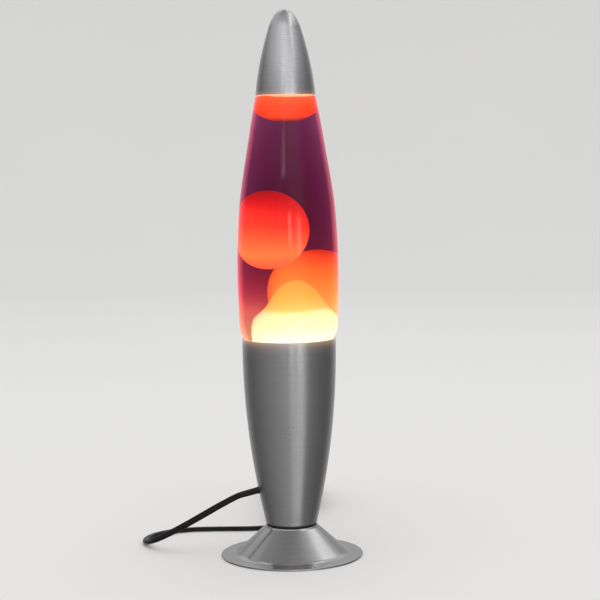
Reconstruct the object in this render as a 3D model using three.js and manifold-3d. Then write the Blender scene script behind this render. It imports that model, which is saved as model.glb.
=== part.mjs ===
// A lava lamp with a spun aluminium foot, cup and cap, a filled glass bottle and a reflector lamp
// under it. Millimetres, +Z up. The origin is at the centre of the foot, on the surface it stands on.
import * as THREE from "three";
import { mergeVertices } from "three/addons/utils/BufferGeometryUtils.js";
import Module from "manifold-3d";

const wasm = await Module();
wasm.setup();
const rad = THREE.MathUtils.degToRad;

// Driving dimensions
const HEIGHT = 420; // floor to tip of the cap
const FOOT_R = 55;
const NECK_R = 20.2; // where foot and cup meet
const NECK_Z = 24; // top of the foot
const CUP_RIM_R = 36;
const CUP_RIM_Z = 170.4;
const CAP_Z = 354.7; // bottom edge of the cap
const SHEET = 1.2; // wall of the spun aluminium shells
const GAP = 0.3; // between touching pieces
const BOLT_R = 3; // M6 bolt through the foot
const BOLT_HOLE_R = BOLT_R + GAP;
const HEX_R = 5.77; // corner radius of a hexagon 10 mm across its flats
const FLOOR_Z = NECK_Z + 1.6; // underside of the cup's floor, over the neck ring
const BRACKET_Z = FLOOR_Z + SHEET + GAP;
const BRACKET_TOP = 44.1;
const HOLDER_Z = BRACKET_TOP + GAP;
const HOLDER_TOP = 80;
const HOLDER_SCREW_X = 8; // each side of the bolt
const TERMINAL_Z = 50;
const BULB_Z = 54.6; // tip contact of the bulb
const BOTTLE_Z = 152; // underside of the glass
const GLASS_WALL = 2.2;
const LIP_Z = 384; // top of the bottle's mouth
const EXIT_Z = 51; // where the cord leaves the cup
const EXIT_TILT = rad(15); // the cord leaves pointing a little down
const SLEEVE_OUT = 15; // length of the cord sleeve outside the cup
const CORD_R = 1.6; // half the thickness of the flat cord
const CORD_Z = 1.7; // height of its middle where it lies on the floor
const SWITCH_CORD_Z = CORD_R + 1; // height of its middle at the switch
const SWITCH_AT = { x: -8, y: 133 };
const SWITCH = { length: 52, width: 21, split: 7.2, height: 15 };
const ROCKER = { pivot: 13.2, radius: 5.3, corner: 5.6, rise: 2, width: 8.4, tilt: 12 };
const HANK = { near: 186, far: 234, radius: 20.5, low: 1.15, high: 17.05 };
const TIE = { y: 210, width: 8, thick: 0.8 };
const PLUG = { x: 6, z: 24.4, back: 197, front: 165, width: 35, height: 13.7 };
const PIN = { radius: 2, length: 19, spacing: 18.6 };

const BIG = 28; // facets round the large shells
const SMALL = 16; // facets round the small turned pieces
// Helpers

function v2(list) {
  return list.map(([x, y]) => new THREE.Vector2(x, y));
}

// A solid of revolution about +Z from [radius, z] points that close on themselves or on the axis.
function lathe(profile, facets = SMALL) {
  return new THREE.LatheGeometry(v2(profile), facets).rotateX(Math.PI / 2);
}

// A closed ring profile: the last point repeats the first.
function ring(profile, facets = SMALL) {
  return lathe([...profile, profile[0]], facets);
}

function tubeRing(inner, outer, low, high, facets = SMALL) {
  return ring(
    [
      [inner, low],
      [outer, low],
      [outer, high],
      [inner, high],
    ],
    facets,
  );
}

// Points along the circular arc through three [r, z] points, both ends included.
function arc([ax, ay], [bx, by], [cx, cy], steps) {
  const d = 2 * (ax * (by - cy) + bx * (cy - ay) + cx * (ay - by));
  const a2 = ax * ax + ay * ay;
  const b2 = bx * bx + by * by;
  const c2 = cx * cx + cy * cy;
  const ux = (a2 * (by - cy) + b2 * (cy - ay) + c2 * (ay - by)) / d;
  const uy = (a2 * (cx - bx) + b2 * (ax - cx) + c2 * (bx - ax)) / d;
  const radius = Math.hypot(ax - ux, ay - uy);
  const from = Math.atan2(ay - uy, ax - ux);
  const turn = (to) => Math.atan2(Math.sin(to - from), Math.cos(to - from));
  const sweep = turn(Math.atan2(cy - uy, cx - ux));
  return Array.from({ length: steps + 1 }, (_, i) => {
    const t = from + (sweep * i) / steps;
    return [ux + radius * Math.cos(t), uy + radius * Math.sin(t)];
  });
}

function toSolid(geometry) {
  const bare = geometry.clone();
  bare.deleteAttribute("normal");
  bare.deleteAttribute("uv");
  const merged = mergeVertices(bare, 1e-4);
  return new wasm.Manifold(
    new wasm.Mesh({
      numProp: 3,
      vertProperties: new Float32Array(merged.attributes.position.array),
      triVerts: new Uint32Array(merged.index.array),
    }),
  );
}

function toGeometry(solid) {
  const mesh = solid.getMesh();
  const stride = mesh.numProp;
  const at = new Float32Array(mesh.numVert * 3);
  for (let i = 0; i < mesh.numVert; i++) {
    at.set(mesh.vertProperties.subarray(i * stride, i * stride + 3), i * 3);
  }
  const geometry = new THREE.BufferGeometry();
  geometry.setAttribute("position", new THREE.BufferAttribute(at, 3));
  geometry.setIndex(new THREE.BufferAttribute(mesh.triVerts, 1));
  return geometry;
}

function cut(geometry, ...tools) {
  return toGeometry(tools.reduce((s, t) => s.subtract(toSolid(t)), toSolid(geometry)));
}

function join(...pieces) {
  return toGeometry(pieces.map(toSolid).reduce((a, b) => a.add(b)));
}

function common(a, b) {
  return toGeometry(toSolid(a).intersect(toSolid(b)));
}

// A cylinder along +Z with its low end at z.
function rod(radius, z, length, facets = 12) {
  return new THREE.CylinderGeometry(radius, radius, length, facets)
    .rotateX(Math.PI / 2)
    .translate(0, 0, z + length / 2);
}

function box(width, depth, height, x, y, z) {
  return new THREE.BoxGeometry(width, depth, height).translate(x, y, z + height / 2);
}

function roundedRect(width, length, radius) {
  const x = width / 2;
  const y = length / 2;
  const s = new THREE.Shape();
  s.moveTo(-x + radius, -y);
  s.lineTo(x - radius, -y);
  s.absarc(x - radius, -y + radius, radius, -Math.PI / 2, 0);
  s.lineTo(x, y - radius);
  s.absarc(x - radius, y - radius, radius, 0, Math.PI / 2);
  s.lineTo(-x + radius, y);
  s.absarc(-x + radius, y - radius, radius, Math.PI / 2, Math.PI);
  s.lineTo(-x, -y + radius);
  s.absarc(-x + radius, -y + radius, radius, Math.PI, Math.PI * 1.5);
  return s;
}

function slab(shape, z, height, curveSegments = 4) {
  return new THREE.ExtrudeGeometry(shape, {
    depth: height,
    bevelEnabled: false,
    curveSegments,
  }).translate(0, 0, z);
}

// A round-sectioned tube along a smooth curve through the points.
function tube(points, radius, steps, sides = 8) {
  const section = new THREE.Shape();
  section.absarc(0, 0, radius, 0, Math.PI * 2);
  const curve = new THREE.CatmullRomCurve3(
    points.map((p) => new THREE.Vector3(...p)),
    false,
    "centripetal",
  );
  return new THREE.ExtrudeGeometry(section, {
    steps,
    curveSegments: sides / 2,
    extrudePath: curve,
    bevelEnabled: false,
  });
}

const lamp = new THREE.Group();

function add(name, geometry, material) {
  const mesh = new THREE.Mesh(geometry, material);
  mesh.name = name;
  lamp.add(mesh);
  return mesh;
}

function finish(color, roughness, metalness = 0, extra = {}) {
  return new THREE.MeshStandardMaterial({ color, roughness, metalness, ...extra });
}

const aluminium = finish(0xb4b5b8, 0.35, 1);
const steel = finish(0x9a9c9f, 0.4, 1);
const iron = finish(0x3a3b3d, 0.7, 0.8);
const brass = finish(0xb98d3c, 0.35, 1);
const blackPlastic = finish(0x0c0c0d, 0.45);
const blackRubber = finish(0x141415, 0.8);
const clearGlass = finish(0xf4f0f0, 0.05, 0, { transparent: true, opacity: 0.3 });
const silvered = finish(0xc9cacc, 0.2, 0.9);
const liquid = finish(0x5a1a48, 0.1, 0, { transparent: true, opacity: 0.8 });
const wax = {
  top: finish(0xff4a20, 0.4),
  middle: finish(0xff5a20, 0.4),
  low: finish(0xffe27a, 0.4),
};

// Foot: a cone that turns out into a thin brim, weighted and padded underneath

function footShell() {
  const brim = arc([41.5, 3.8], [43.6, 2.35], [46.5, 1.75], 3);
  const under = arc([46.5, 0.65], [42.9, 1.25], [40.6, 2.7], 2);
  return ring(
    [
      [BOLT_HOLE_R, NECK_Z - SHEET],
      [BOLT_HOLE_R, NECK_Z],
      [NECK_R - 0.6, NECK_Z],
      [NECK_R, NECK_Z - 0.4],
      ...brim,
      [FOOT_R - 0.6, 1.3],
      [FOOT_R, 0.7],
      [FOOT_R - 0.3, 0],
      [FOOT_R - 2, 0],
      [FOOT_R - 2.6, 0.5],
      ...under,
      [NECK_R - 1.6, NECK_Z - SHEET],
    ].reverse(),
    BIG,
  );
}

function footWeight() {
  return ring(
    [
      [BOLT_HOLE_R, 10.2],
      [10, 10.2],
      [10, 2.1],
      [39.6, 2.1],
      [39.6, 2.9],
      [18.2, NECK_Z - SHEET - GAP],
      [BOLT_HOLE_R, NECK_Z - SHEET - GAP],
    ],
    BIG,
  );
}

// A hexagon-headed bolt pointing up, with its shank rising to the given height.
function bolt(z, top) {
  return join(rod(HEX_R, z, 4, 6), rod(BOLT_R, z + 3.9, top - z - 3.9));
}

add("foot_shell", footShell(), aluminium);
add("foot_weight", footWeight(), iron);
add("foot_pad", tubeRing(12, 39, 0, 1.8, BIG), blackRubber);
add("foot_bolt_washer", tubeRing(BOLT_HOLE_R, 8.5, 8.4, 9.9), steel);
add("foot_bolt", bolt(4.1, 38), steel);
add(
  "neck_ring",
  tubeRing(BOLT_HOLE_R, NECK_R - 1, NECK_Z + GAP, FLOOR_Z - GAP, BIG),
  blackRubber,
);

// Cup: a convex taper on a flat floor, with a beaded rim and a hole for the cord

const CUP_MID = [32, 95];
const exitR = NECK_R + 4.9; // outside of the cup at the height of the cord
const exitDir = new THREE.Vector3(-Math.cos(EXIT_TILT), 0, -Math.sin(EXIT_TILT));
const exitPoint = new THREE.Vector3(-exitR, 0, EXIT_Z);

// Turns a piece made along +Z to lie along the cord's exit, with z = 0 at the outside of the cup.
function alongExit(geometry) {
  const turn = new THREE.Quaternion().setFromUnitVectors(new THREE.Vector3(0, 0, 1), exitDir);
  return geometry.applyQuaternion(turn).translate(...exitPoint);
}

function cupShell() {
  const outer = arc([NECK_R - 0.2, FLOOR_Z + 0.8], CUP_MID, [CUP_RIM_R, CUP_RIM_Z - 1], 9);
  const inner = arc(
    [NECK_R - 0.2 - SHEET, FLOOR_Z + SHEET],
    [CUP_MID[0] - SHEET, CUP_MID[1]],
    [CUP_RIM_R - SHEET, CUP_RIM_Z - 1],
    5,
  );
  const shell = ring(
    [
      [BOLT_HOLE_R, FLOOR_Z],
      [NECK_R - 1, FLOOR_Z],
      ...outer,
      [CUP_RIM_R - 0.25, CUP_RIM_Z - 0.2],
      [CUP_RIM_R - 0.7, CUP_RIM_Z],
      [CUP_RIM_R - 1.05, CUP_RIM_Z - 0.3],
      ...inner.reverse(),
      [BOLT_HOLE_R, FLOOR_Z + SHEET],
    ],
    BIG,
  );
  return cut(shell, alongExit(rod(3.7, -12, 24, 16)));
}

add("cup_shell", cupShell(), aluminium);

// Lamp holder on its bracket, held by the bolt through the foot

const BRACKET_WALL = 1.5;

function bracket() {
  const width = 27;
  const height = BRACKET_TOP - BRACKET_Z;
  const outline = roundedRect(width, height, 2.5);
  outline.holes.push(roundedRect(width - 2 * BRACKET_WALL, height - 2 * BRACKET_WALL, 1));
  const strap = slab(outline, -7, 14)
    .rotateX(Math.PI / 2)
    .translate(0, 0, (BRACKET_TOP + BRACKET_Z) / 2);
  const holes = [-1, 1].map((side) =>
    rod(1.8, BRACKET_TOP - 3, 6).translate(side * HOLDER_SCREW_X, 0, 0),
  );
  return cut(strap, rod(BOLT_HOLE_R, BRACKET_Z - 2, 6), ...holes);
}

function holderBody() {
  const body = lathe(
    [
      [0, HOLDER_Z],
      [12.5, HOLDER_Z],
      [12.5, 58],
      [13.8, 60],
      [13.8, 75],
      [12.8, HOLDER_TOP],
      [8.4, HOLDER_TOP],
      [8.4, 53],
      [0, 53],
    ],
    24,
  );
  const screwHoles = [-1, 1].map((side) =>
    rod(1.8, HOLDER_Z - 1, 6.5).translate(side * HOLDER_SCREW_X, 0, 0),
  );
  const terminalHoles = [-1, 1].map((side) => terminal(1.9, 8, side * 13));
  return cut(body, ...screwHoles, ...terminalHoles);
}

// A cylinder along Y centred at y, at the height of the holder's terminals.
function terminal(radius, length, y) {
  return new THREE.CylinderGeometry(radius, radius, length, 12).translate(0, y, TERMINAL_Z);
}

// A pan-head screw pointing up from z.
function screw(z, headR, headH, shankR, length) {
  return join(rod(headR, z, headH), rod(shankR, z + headH - 0.1, length));
}

add("lampholder_bracket", bracket(), steel);
add("bracket_washer", tubeRing(BOLT_HOLE_R, 6.2, BRACKET_Z + 1.8, BRACKET_Z + 2.8), steel);
add(
  "bracket_nut",
  cut(rod(HEX_R, BRACKET_Z + 3.1, 5, 6), rod(BOLT_HOLE_R, BRACKET_Z + 2, 8, SMALL)),
  steel,
);
add("lampholder_body", holderBody(), blackPlastic);
for (const [side, name] of [
  [-1, "left"],
  [1, "right"],
]) {
  const headH = 1.8;
  const piece = screw(BRACKET_TOP - BRACKET_WALL - GAP - headH, 2.8, headH, 1.5, 6.4);
  add("lampholder_screw_" + name, piece.translate(side * HOLDER_SCREW_X, 0, 0), steel);
}
for (const [side, name, insulation] of [
  [-1, "live", finish(0x6b3a1e, 0.5)],
  [1, "neutral", finish(0x2a4f9c, 0.5)],
]) {
  const head = terminal(2.4, 1.5, side * 13.75);
  const shank = terminal(1.5, 4, side * 11.2);
  add("terminal_screw_" + name, join(head, shank), brass);
  const route = [
    [-17.4, side * 1.6, 53],
    [-15.8, side * 7.5, 53.4],
    [-11, side * 13.2, 53],
    [-4.5, side * 16.2, 51.4],
    [1.5, side * 16.6, 50.2],
  ];
  add("wire_" + name, tube(route, 0.9, 10, 6), insulation);
}
add("lampholder_thread", tubeRing(7.3, 7.9, 54.3, 77.5, 24), brass);
add("lampholder_contact", box(3.5, 9, 0.6, 0, 0, 53.4), brass);

// Reflector bulb: screw shell, tip contact, and a glass reflector with its filament

function bulbEnvelope() {
  const wall = 0.9;
  return lathe(
    [
      [5.1, BULB_Z + 6.4],
      [6, BULB_Z + 6.8],
      [6, 80.5],
      [8.4, 86],
      [12.5, 94],
      [17.2, 103.5],
      [19.5, 111],
      [19, 117],
      [15, 122.6],
      [8, 125.4],
      [0, 126],
      [0, 126 - wall],
      [8, 124.4],
      [14.4, 121.8],
      [18, 116.6],
      [18.5, 111.2],
      [16.3, 103.9],
      [11.7, 94.4],
      [7.6, 86.4],
      [5.1, 80.8],
      [5.1, BULB_Z + 6.4],
    ],
    20,
  );
}

const filamentRoute = [
  [-1.2, 0, 89],
  [-3.2, 0, 96],
  [-4.6, 0, 103],
  [-2.4, 0, 104.6],
  [0, 0, 105],
  [2.4, 0, 104.6],
  [4.6, 0, 103],
  [3.2, 0, 96],
  [1.2, 0, 89],
];

const contactProfile = [
  [0, BULB_Z],
  [1.4, BULB_Z],
  [2.4, BULB_Z + 0.8],
  [2.4, BULB_Z + 1.6],
  [0, BULB_Z + 1.6],
];

const stemProfile = [
  [0, 64],
  [3.6, 64],
  [2.4, 72],
  [2, 88.6],
  [0, 88.6],
];

add("bulb_contact", lathe(contactProfile), steel);
add("bulb_insulator", tubeRing(1.2, 6.2, BULB_Z + 1.9, BULB_Z + 4.4, 24), blackPlastic);
add("bulb_screw_shell", tubeRing(6.3, 6.95, BULB_Z + 4.7, 79.5, 24), steel);
add("bulb_envelope", bulbEnvelope(), silvered);
add("bulb_stem", lathe(stemProfile), clearGlass);
add("bulb_filament", tube(filamentRoute, 0.3, 14, 6), steel);

// Bottle: its outside, then the inside that the liquid and the wax fill

const bottleSide = [
  [35.5, 171.5],
  [36.7, 173.8],
  [37.5, 177.2],
  ...arc([38.3, 193], [38.8, 213], [38, 251], 3),
  [36.4, 272.7],
  [34, 290.6],
  [30.2, 313.3],
];

// The inside wall, drawn in by inset, from the axis at the floor up to z = top on the wall.
function insideProfile(inset) {
  const floor = BOTTLE_Z + 4 + inset;
  const w = GLASS_WALL + inset;
  return [
    [0, floor],
    [30.5 - inset, floor],
    [32 - inset, floor + 3],
    [32.4 - inset, 169.6],
    [33.9 - inset, 173],
    ...bottleSide.slice(2).map(([r, z]) => [r - w, z]),
    [20.9 - inset, CAP_Z - 1.7],
    [18.2 - inset, 360],
    [15.3 - inset, 366.5],
  ];
}

function glassBottle() {
  return lathe(
    [
      [0, BOTTLE_Z + 1.2],
      [22, BOTTLE_Z + 0.8],
      [27, BOTTLE_Z],
      [31.5, BOTTLE_Z],
      [33.8, BOTTLE_Z + 2.4],
      [34.3, BOTTLE_Z + 6],
      [34.4, 170],
      ...bottleSide,
      [23.25, CAP_Z - 1.8],
      [22.95, CAP_Z - 0.8],
      [21.2, CAP_Z - 0.4],
      [20.3, 360],
      [17.5, 366.8],
      [14.4, 370.8],
      [13.2, 372.5],
      [13.2, 374],
      [14, 375],
      [14, LIP_Z - 0.5],
      [13.4, LIP_Z],
      [11.6, LIP_Z],
      [11, LIP_Z - 0.5],
      [11, 373],
      [12, 371],
      ...insideProfile(0).reverse(),
    ],
    BIG,
  );
}

// Wax and heating coil. Each is a function of grow, by which the liquid is cut back from it.

function coil(grow) {
  return new THREE.TorusGeometry(29.3, 1.5 + grow, 6, 28).translate(0, 0, BOTTLE_Z + 5.9);
}

function pool(grow) {
  const slope = [
    [27.6, 185.8],
    [24.5, 189.6],
    [20, 195.4],
    [17, 201.4],
    [13.5, 207.6],
    [9, 212.4],
    [4, 215.4],
  ];
  return lathe(
    [
      [0, BOTTLE_Z + 3],
      [26.5 + grow, BOTTLE_Z + 3],
      [28.5 + grow, 163],
      [29.2 + grow, 173],
      [29 + grow, 180.5],
      ...slope.map(([r, z]) => [r + grow, z + grow]),
      [0, 216 + grow],
    ],
    22,
  ).translate(6.6, -7, 0);
}

function ball(rx, ry, rz, x, y, z, grow) {
  return new THREE.SphereGeometry(1, 20, 12)
    .rotateX(Math.PI / 2)
    .scale(rx + grow, ry + grow, rz + grow)
    .translate(x, y, z);
}

const leftBall = (grow) => ball(25, 23, 29.3, -11.9, -6, 253, grow);
const rightBall = (grow) => ball(25.5, 22, 34.5, 15, 8, 202.6, grow);

function topDome(grow) {
  return lathe(
    [
      [0, 334 - grow],
      [8, 335.2 - grow],
      [15.5, 339.6 - grow],
      [21.5, 346.4 - grow],
      [26, 351 - grow],
      [26, 362.5],
      [0, 362.5],
    ],
    22,
  );
}

const inside = lathe([...insideProfile(GAP), [0, 366.5]], BIG);

function liquidFill() {
  const profile = insideProfile(GAP).filter(([, z]) => z < 320);
  const body = lathe([...profile, [21.9 - GAP, 347], [0, 347]], BIG);
  return cut(body, coil(GAP), pool(GAP), leftBall(GAP), rightBall(GAP), topDome(GAP));
}

add("glass_bottle", glassBottle(), clearGlass);
add("heating_coil", coil(0), steel);
add("wax_pool", cut(common(pool(0), inside), coil(GAP)), wax.low);
add("wax_rising", cut(common(rightBall(0), inside), pool(GAP)), wax.middle);
add("wax_ball", cut(common(leftBall(0), inside), rightBall(GAP), pool(GAP)), wax.middle);
add("wax_top", common(topDome(0), inside), wax.top);
add("liquid_fill", liquidFill(), liquid);

// Closure of the bottle, and the cap that hides it

function closure() {
  return lathe(
    [
      [14.3, 375],
      [15.2, 375],
      [15.2, 386],
      [14.6, 386.8],
      [0, 386.8],
      [0, 385.9],
      [14.3, 385.9],
      [14.3, 375],
    ],
    20,
  );
}

function topCap() {
  const side = arc([22.85, CAP_Z + 1], [18.3, 384], [13.1, 403.5], 5);
  const sideIn = arc([21.65, CAP_Z + 1], [17.1, 384], [11.9, 403], 3);
  return lathe(
    [
      [21.6, CAP_Z + 0.2],
      [22.1, CAP_Z],
      [22.7, CAP_Z + 0.3],
      ...side,
      [11.5, 408.4],
      [9.6, 412.4],
      [6.9, 416.6],
      [3.8, 419.2],
      [0, HEIGHT],
      [0, HEIGHT - SHEET],
      [3.2, 418.1],
      [5.9, 415.9],
      [8.5, 411.8],
      [10.3, 408],
      ...sideIn.reverse(),
      [21.6, CAP_Z + 0.2],
    ],
    BIG,
  );
}

add("closure_liner", rod(13.8, LIP_Z + 0.4, 1.1, 24), blackRubber);
add("bottle_closure", closure(), aluminium);
add("top_cap", topCap(), aluminium);

// Cord: out of the cup through a tapered sleeve, down to the floor, round behind the foot, through
// the switch and into a tied hank, with its plug lying on the hank

function sleeve() {
  return alongExit(
    lathe(
      [
        [0, -7],
        [5.5, -7],
        [5.5, -4.6],
        [3.3, -4.4],
        [3.1, 1],
        [2.6, SLEEVE_OUT],
        [0, SLEEVE_OUT],
      ],
      16,
    ),
  );
}

const leadRoute = [
  exitPoint.clone().addScaledVector(exitDir, SLEEVE_OUT + GAP).toArray(),
  [-53, 0, 40.6],
  [-66.5, 0, 33.1],
  [-80, 2, 25.2],
  [-93, 7, 17.4],
  [-104.5, 15.5, 10.4],
  [-113, 27, 5.3],
  [-117.5, 40.5, 2.5],
  [-116.5, 55, CORD_Z],
  [-109.5, 68, CORD_Z],
  [-98, 77.5, CORD_Z],
  [-84, 82.8, CORD_Z],
  [-67, 84.2, CORD_Z],
  [-48, 84, CORD_Z],
  [-33, 84, CORD_Z],
  [-22.5, 86.4, CORD_Z],
  [-13.6, 92.4, CORD_Z],
  [-8.8, 100, CORD_Z],
  [SWITCH_AT.x, SWITCH_AT.y - SWITCH.length / 2 - GAP, SWITCH_CORD_Z],
];

const linkRoute = [
  [SWITCH_AT.x, SWITCH_AT.y + SWITCH.length / 2 + GAP, SWITCH_CORD_Z],
  [SWITCH_AT.x - 0.4, 162.4, SWITCH_CORD_Z],
  [SWITCH_AT.x - 1.3, 165.6, SWITCH_CORD_Z],
];

const tailRoute = [
  [15.6, 231, 21],
  [14.6, 225.5, 22],
  [12, 220, 23],
  [8.4, 214.4, 24],
  [PLUG.x + 0.4, PLUG.back + 12.7, PLUG.z],
];

// A stadium-shaped coil of cord: two runs along Y joined by half turns, wound in three layers.
function hank() {
  const outline = new THREE.Shape();
  outline.absarc(0, HANK.near, HANK.radius, Math.PI, Math.PI * 2);
  outline.absarc(0, HANK.far, HANK.radius, 0, Math.PI);
  return slab(outline, HANK.low, HANK.high - HANK.low, 14);
}

function tie() {
  const x = 2 * (HANK.radius + GAP);
  const z = HANK.high + GAP;
  const outline = roundedRect(x + 2 * TIE.thick, z + TIE.thick, 1.2);
  outline.holes.push(roundedRect(x, z - TIE.thick, 0.4));
  return slab(outline, -TIE.width / 2, TIE.width)
    .rotateX(Math.PI / 2)
    .translate(0, TIE.y, (z + TIE.thick) / 2);
}

add("cord_sleeve", sleeve(), blackRubber);
add("power_cord_lead", tube(leadRoute, CORD_R, 78), blackPlastic);
add("power_cord_link", tube(linkRoute, CORD_R, 3), blackPlastic);
add("power_cord_hank", hank(), blackPlastic);
add("power_cord_tail", tube(tailRoute, CORD_R, 8), blackPlastic);
add("cord_tie", tie(), blackRubber);

// Inline switch: a base and a cover screwed together, with a rocker in the cover

function switchShape() {
  return roundedRect(SWITCH.width, SWITCH.length, 5);
}

function placeSwitch(geometry) {
  return geometry.translate(SWITCH_AT.x, SWITCH_AT.y, 0);
}

const switchEnds = [-1, 1].map((side) => side * 19.5);

function switchBase() {
  const cavity = box(15, 28, 6, 0, 0, 1.8);
  const holes = switchEnds.flatMap((y) => [
    rod(1.5, -1, 12).translate(0, y, 0),
    rod(2.9, -1, 3).translate(0, y, 0),
  ]);
  return placeSwitch(cut(slab(switchShape(), 0, SWITCH.split), cavity, ...holes));
}

function switchCover() {
  const low = SWITCH.split + GAP;
  const cavity = box(12, 16, 13.4 - low + 1, 0, 0, low - 1);
  const mouth = box(ROCKER.width + 0.8, 13, 8, 0, 0, 10);
  const holes = switchEnds.map((y) => rod(1.5, low - 1, 5.6).translate(0, y, 0));
  const edge = 1.5;
  const outline = roundedRect(SWITCH.width - 2 * edge, SWITCH.length - 2 * edge, 3.5);
  const top = new THREE.ExtrudeGeometry(outline, {
    depth: SWITCH.height - low - edge,
    bevelEnabled: true,
    bevelThickness: edge,
    bevelSize: edge,
    bevelSegments: 2,
    curveSegments: 4,
  }).translate(0, 0, low);
  const below = box(SWITCH.width * 2, SWITCH.length * 2, 4, 0, 0, low - 4);
  return placeSwitch(cut(top, below, cavity, mouth, ...holes));
}

function rocker() {
  const { corner, rise, radius, width, tilt } = ROCKER;
  const outline = new THREE.Shape();
  outline.moveTo(corner, rise);
  outline.lineTo(0, rise - 1.1);
  outline.lineTo(-corner, rise);
  outline.lineTo(-radius, -0.6);
  outline.absarc(0, 0, radius, Math.PI + 0.12, Math.PI * 2 - 0.12);
  outline.lineTo(radius, -0.6);
  const body = new THREE.ExtrudeGeometry(outline, {
    depth: width,
    bevelEnabled: false,
    curveSegments: 8,
  }).translate(0, 0, -width / 2);
  // The outline's x becomes -Y and its y becomes +Z, so the extrusion runs along X.
  return body
    .rotateX(Math.PI / 2)
    .rotateZ(-Math.PI / 2)
    .rotateX(rad(tilt))
    .translate(SWITCH_AT.x, SWITCH_AT.y, ROCKER.pivot);
}

add("switch_base", switchBase(), blackPlastic);
add("switch_cover", switchCover(), blackPlastic);
add("switch_rocker", rocker(), blackPlastic);
switchEnds.forEach((y, i) => {
  const piece = screw(0.3, 2.5, 1.4, 1.2, 10).translate(0, y, 0);
  add("switch_screw_" + (i + 1), placeSwitch(piece), steel);
});
for (const [side, name] of [
  [-1, "in"],
  [1, "out"],
]) {
  add("switch_contact_" + name, placeSwitch(box(5, 9, 0.8, 0, side * 7.5, 2.1)), brass);
}

// Two-pin plug

function plugBody() {
  const { width, height } = PLUG;
  const x = width / 2;
  const z = height / 2;
  const flat = x - 5;
  const outline = new THREE.Shape(
    v2([
      [-flat, -z],
      [flat, -z],
      [x, 0],
      [flat, z],
      [-flat, z],
      [-x, 0],
    ]),
  );
  const length = PLUG.back - PLUG.front;
  const body = new THREE.ExtrudeGeometry(outline, { depth: length, bevelEnabled: false })
    .rotateX(Math.PI / 2)
    .translate(PLUG.x, PLUG.back, PLUG.z);
  const relief = new THREE.CylinderGeometry(2.8, 4.4, 12.1, 12).translate(
    PLUG.x,
    PLUG.back + 5.95,
    PLUG.z,
  );
  return join(body, relief);
}

function pin() {
  const profile = [
    [0, 0],
    [PIN.radius, 0],
    [PIN.radius, PIN.length - 1],
    [1, PIN.length],
    [0, PIN.length],
  ];
  return lathe(profile, 12)
    .rotateX(Math.PI / 2)
    .translate(0, PLUG.front - GAP, PLUG.z);
}

add("plug_body", plugBody(), blackPlastic);
add("plug_pin_left", pin().translate(PLUG.x - PIN.spacing / 2, 0, 0), steel);
add("plug_pin_right", pin().translate(PLUG.x + PIN.spacing / 2, 0, 0), steel);

export default lamp;
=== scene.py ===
"""Looks for the lava lamp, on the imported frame. Profiles and routes are in millimetres."""

import math

import bmesh
import bpy
import numpy as np
from mathutils import Matrix, Vector


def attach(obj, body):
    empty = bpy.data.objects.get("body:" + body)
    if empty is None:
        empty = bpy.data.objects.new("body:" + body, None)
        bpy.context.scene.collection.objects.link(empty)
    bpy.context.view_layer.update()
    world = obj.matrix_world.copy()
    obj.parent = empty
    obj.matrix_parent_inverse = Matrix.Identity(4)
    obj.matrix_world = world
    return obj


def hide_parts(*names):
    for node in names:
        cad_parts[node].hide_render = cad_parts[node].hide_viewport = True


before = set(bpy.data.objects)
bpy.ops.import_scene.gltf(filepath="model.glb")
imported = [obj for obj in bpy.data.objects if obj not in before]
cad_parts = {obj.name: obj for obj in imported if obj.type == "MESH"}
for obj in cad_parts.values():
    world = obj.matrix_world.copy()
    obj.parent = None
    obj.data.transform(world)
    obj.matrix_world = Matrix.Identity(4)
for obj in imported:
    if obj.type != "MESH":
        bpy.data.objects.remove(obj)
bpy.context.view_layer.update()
scene = bpy.context.scene
MM = 0.001
BIG = 192  # facets round the large turned pieces


# ---------------- mesh helpers


def new_object(name, vertices, faces, sharp=35.0):
    """A smooth-shaded mesh object whose edges above the sharp angle stay crisp."""
    mesh = bpy.data.meshes.new(name)
    mesh.from_pydata([tuple(v) for v in vertices], [], faces)
    obj = bpy.data.objects.new(name, mesh)
    scene.collection.objects.link(obj)
    tidy_mesh(obj, sharp)
    return obj


def tidy_mesh(obj, sharp=35.0):
    """Outward normals, smooth shading, and crisp edges above the sharp angle."""
    bm = bmesh.new()
    bm.from_mesh(obj.data)
    bmesh.ops.recalc_face_normals(bm, faces=bm.faces)
    for face in bm.faces:
        face.smooth = True
    bm.to_mesh(obj.data)
    bm.free()
    obj.data.set_sharp_from_angle(angle=math.radians(sharp))


def lathe(name, profile, facets=BIG, sharp=35.0, closed=False):
    """A solid of revolution from (r, z) points in mm. Points on the axis become poles."""
    rings, vertices = [], []
    for r, z in profile:
        if r < 1e-6:
            rings.append([len(vertices)] * facets)
            vertices.append((0.0, 0.0, z * MM))
            continue
        rings.append(list(range(len(vertices), len(vertices) + facets)))
        for i in range(facets):
            a = 2 * math.pi * i / facets
            vertices.append((r * math.cos(a) * MM, r * math.sin(a) * MM, z * MM))
    if closed:
        rings.append(rings[0])
    faces = []
    for low, high in zip(rings, rings[1:]):
        for i in range(facets):
            j = (i + 1) % facets
            face = [low[i], low[j], high[j], high[i]]
            face = [v for k, v in enumerate(face) if v != face[k - 1]]
            if len(face) > 2:
                faces.append(face)
    return new_object(name, vertices, faces, sharp)


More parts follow.
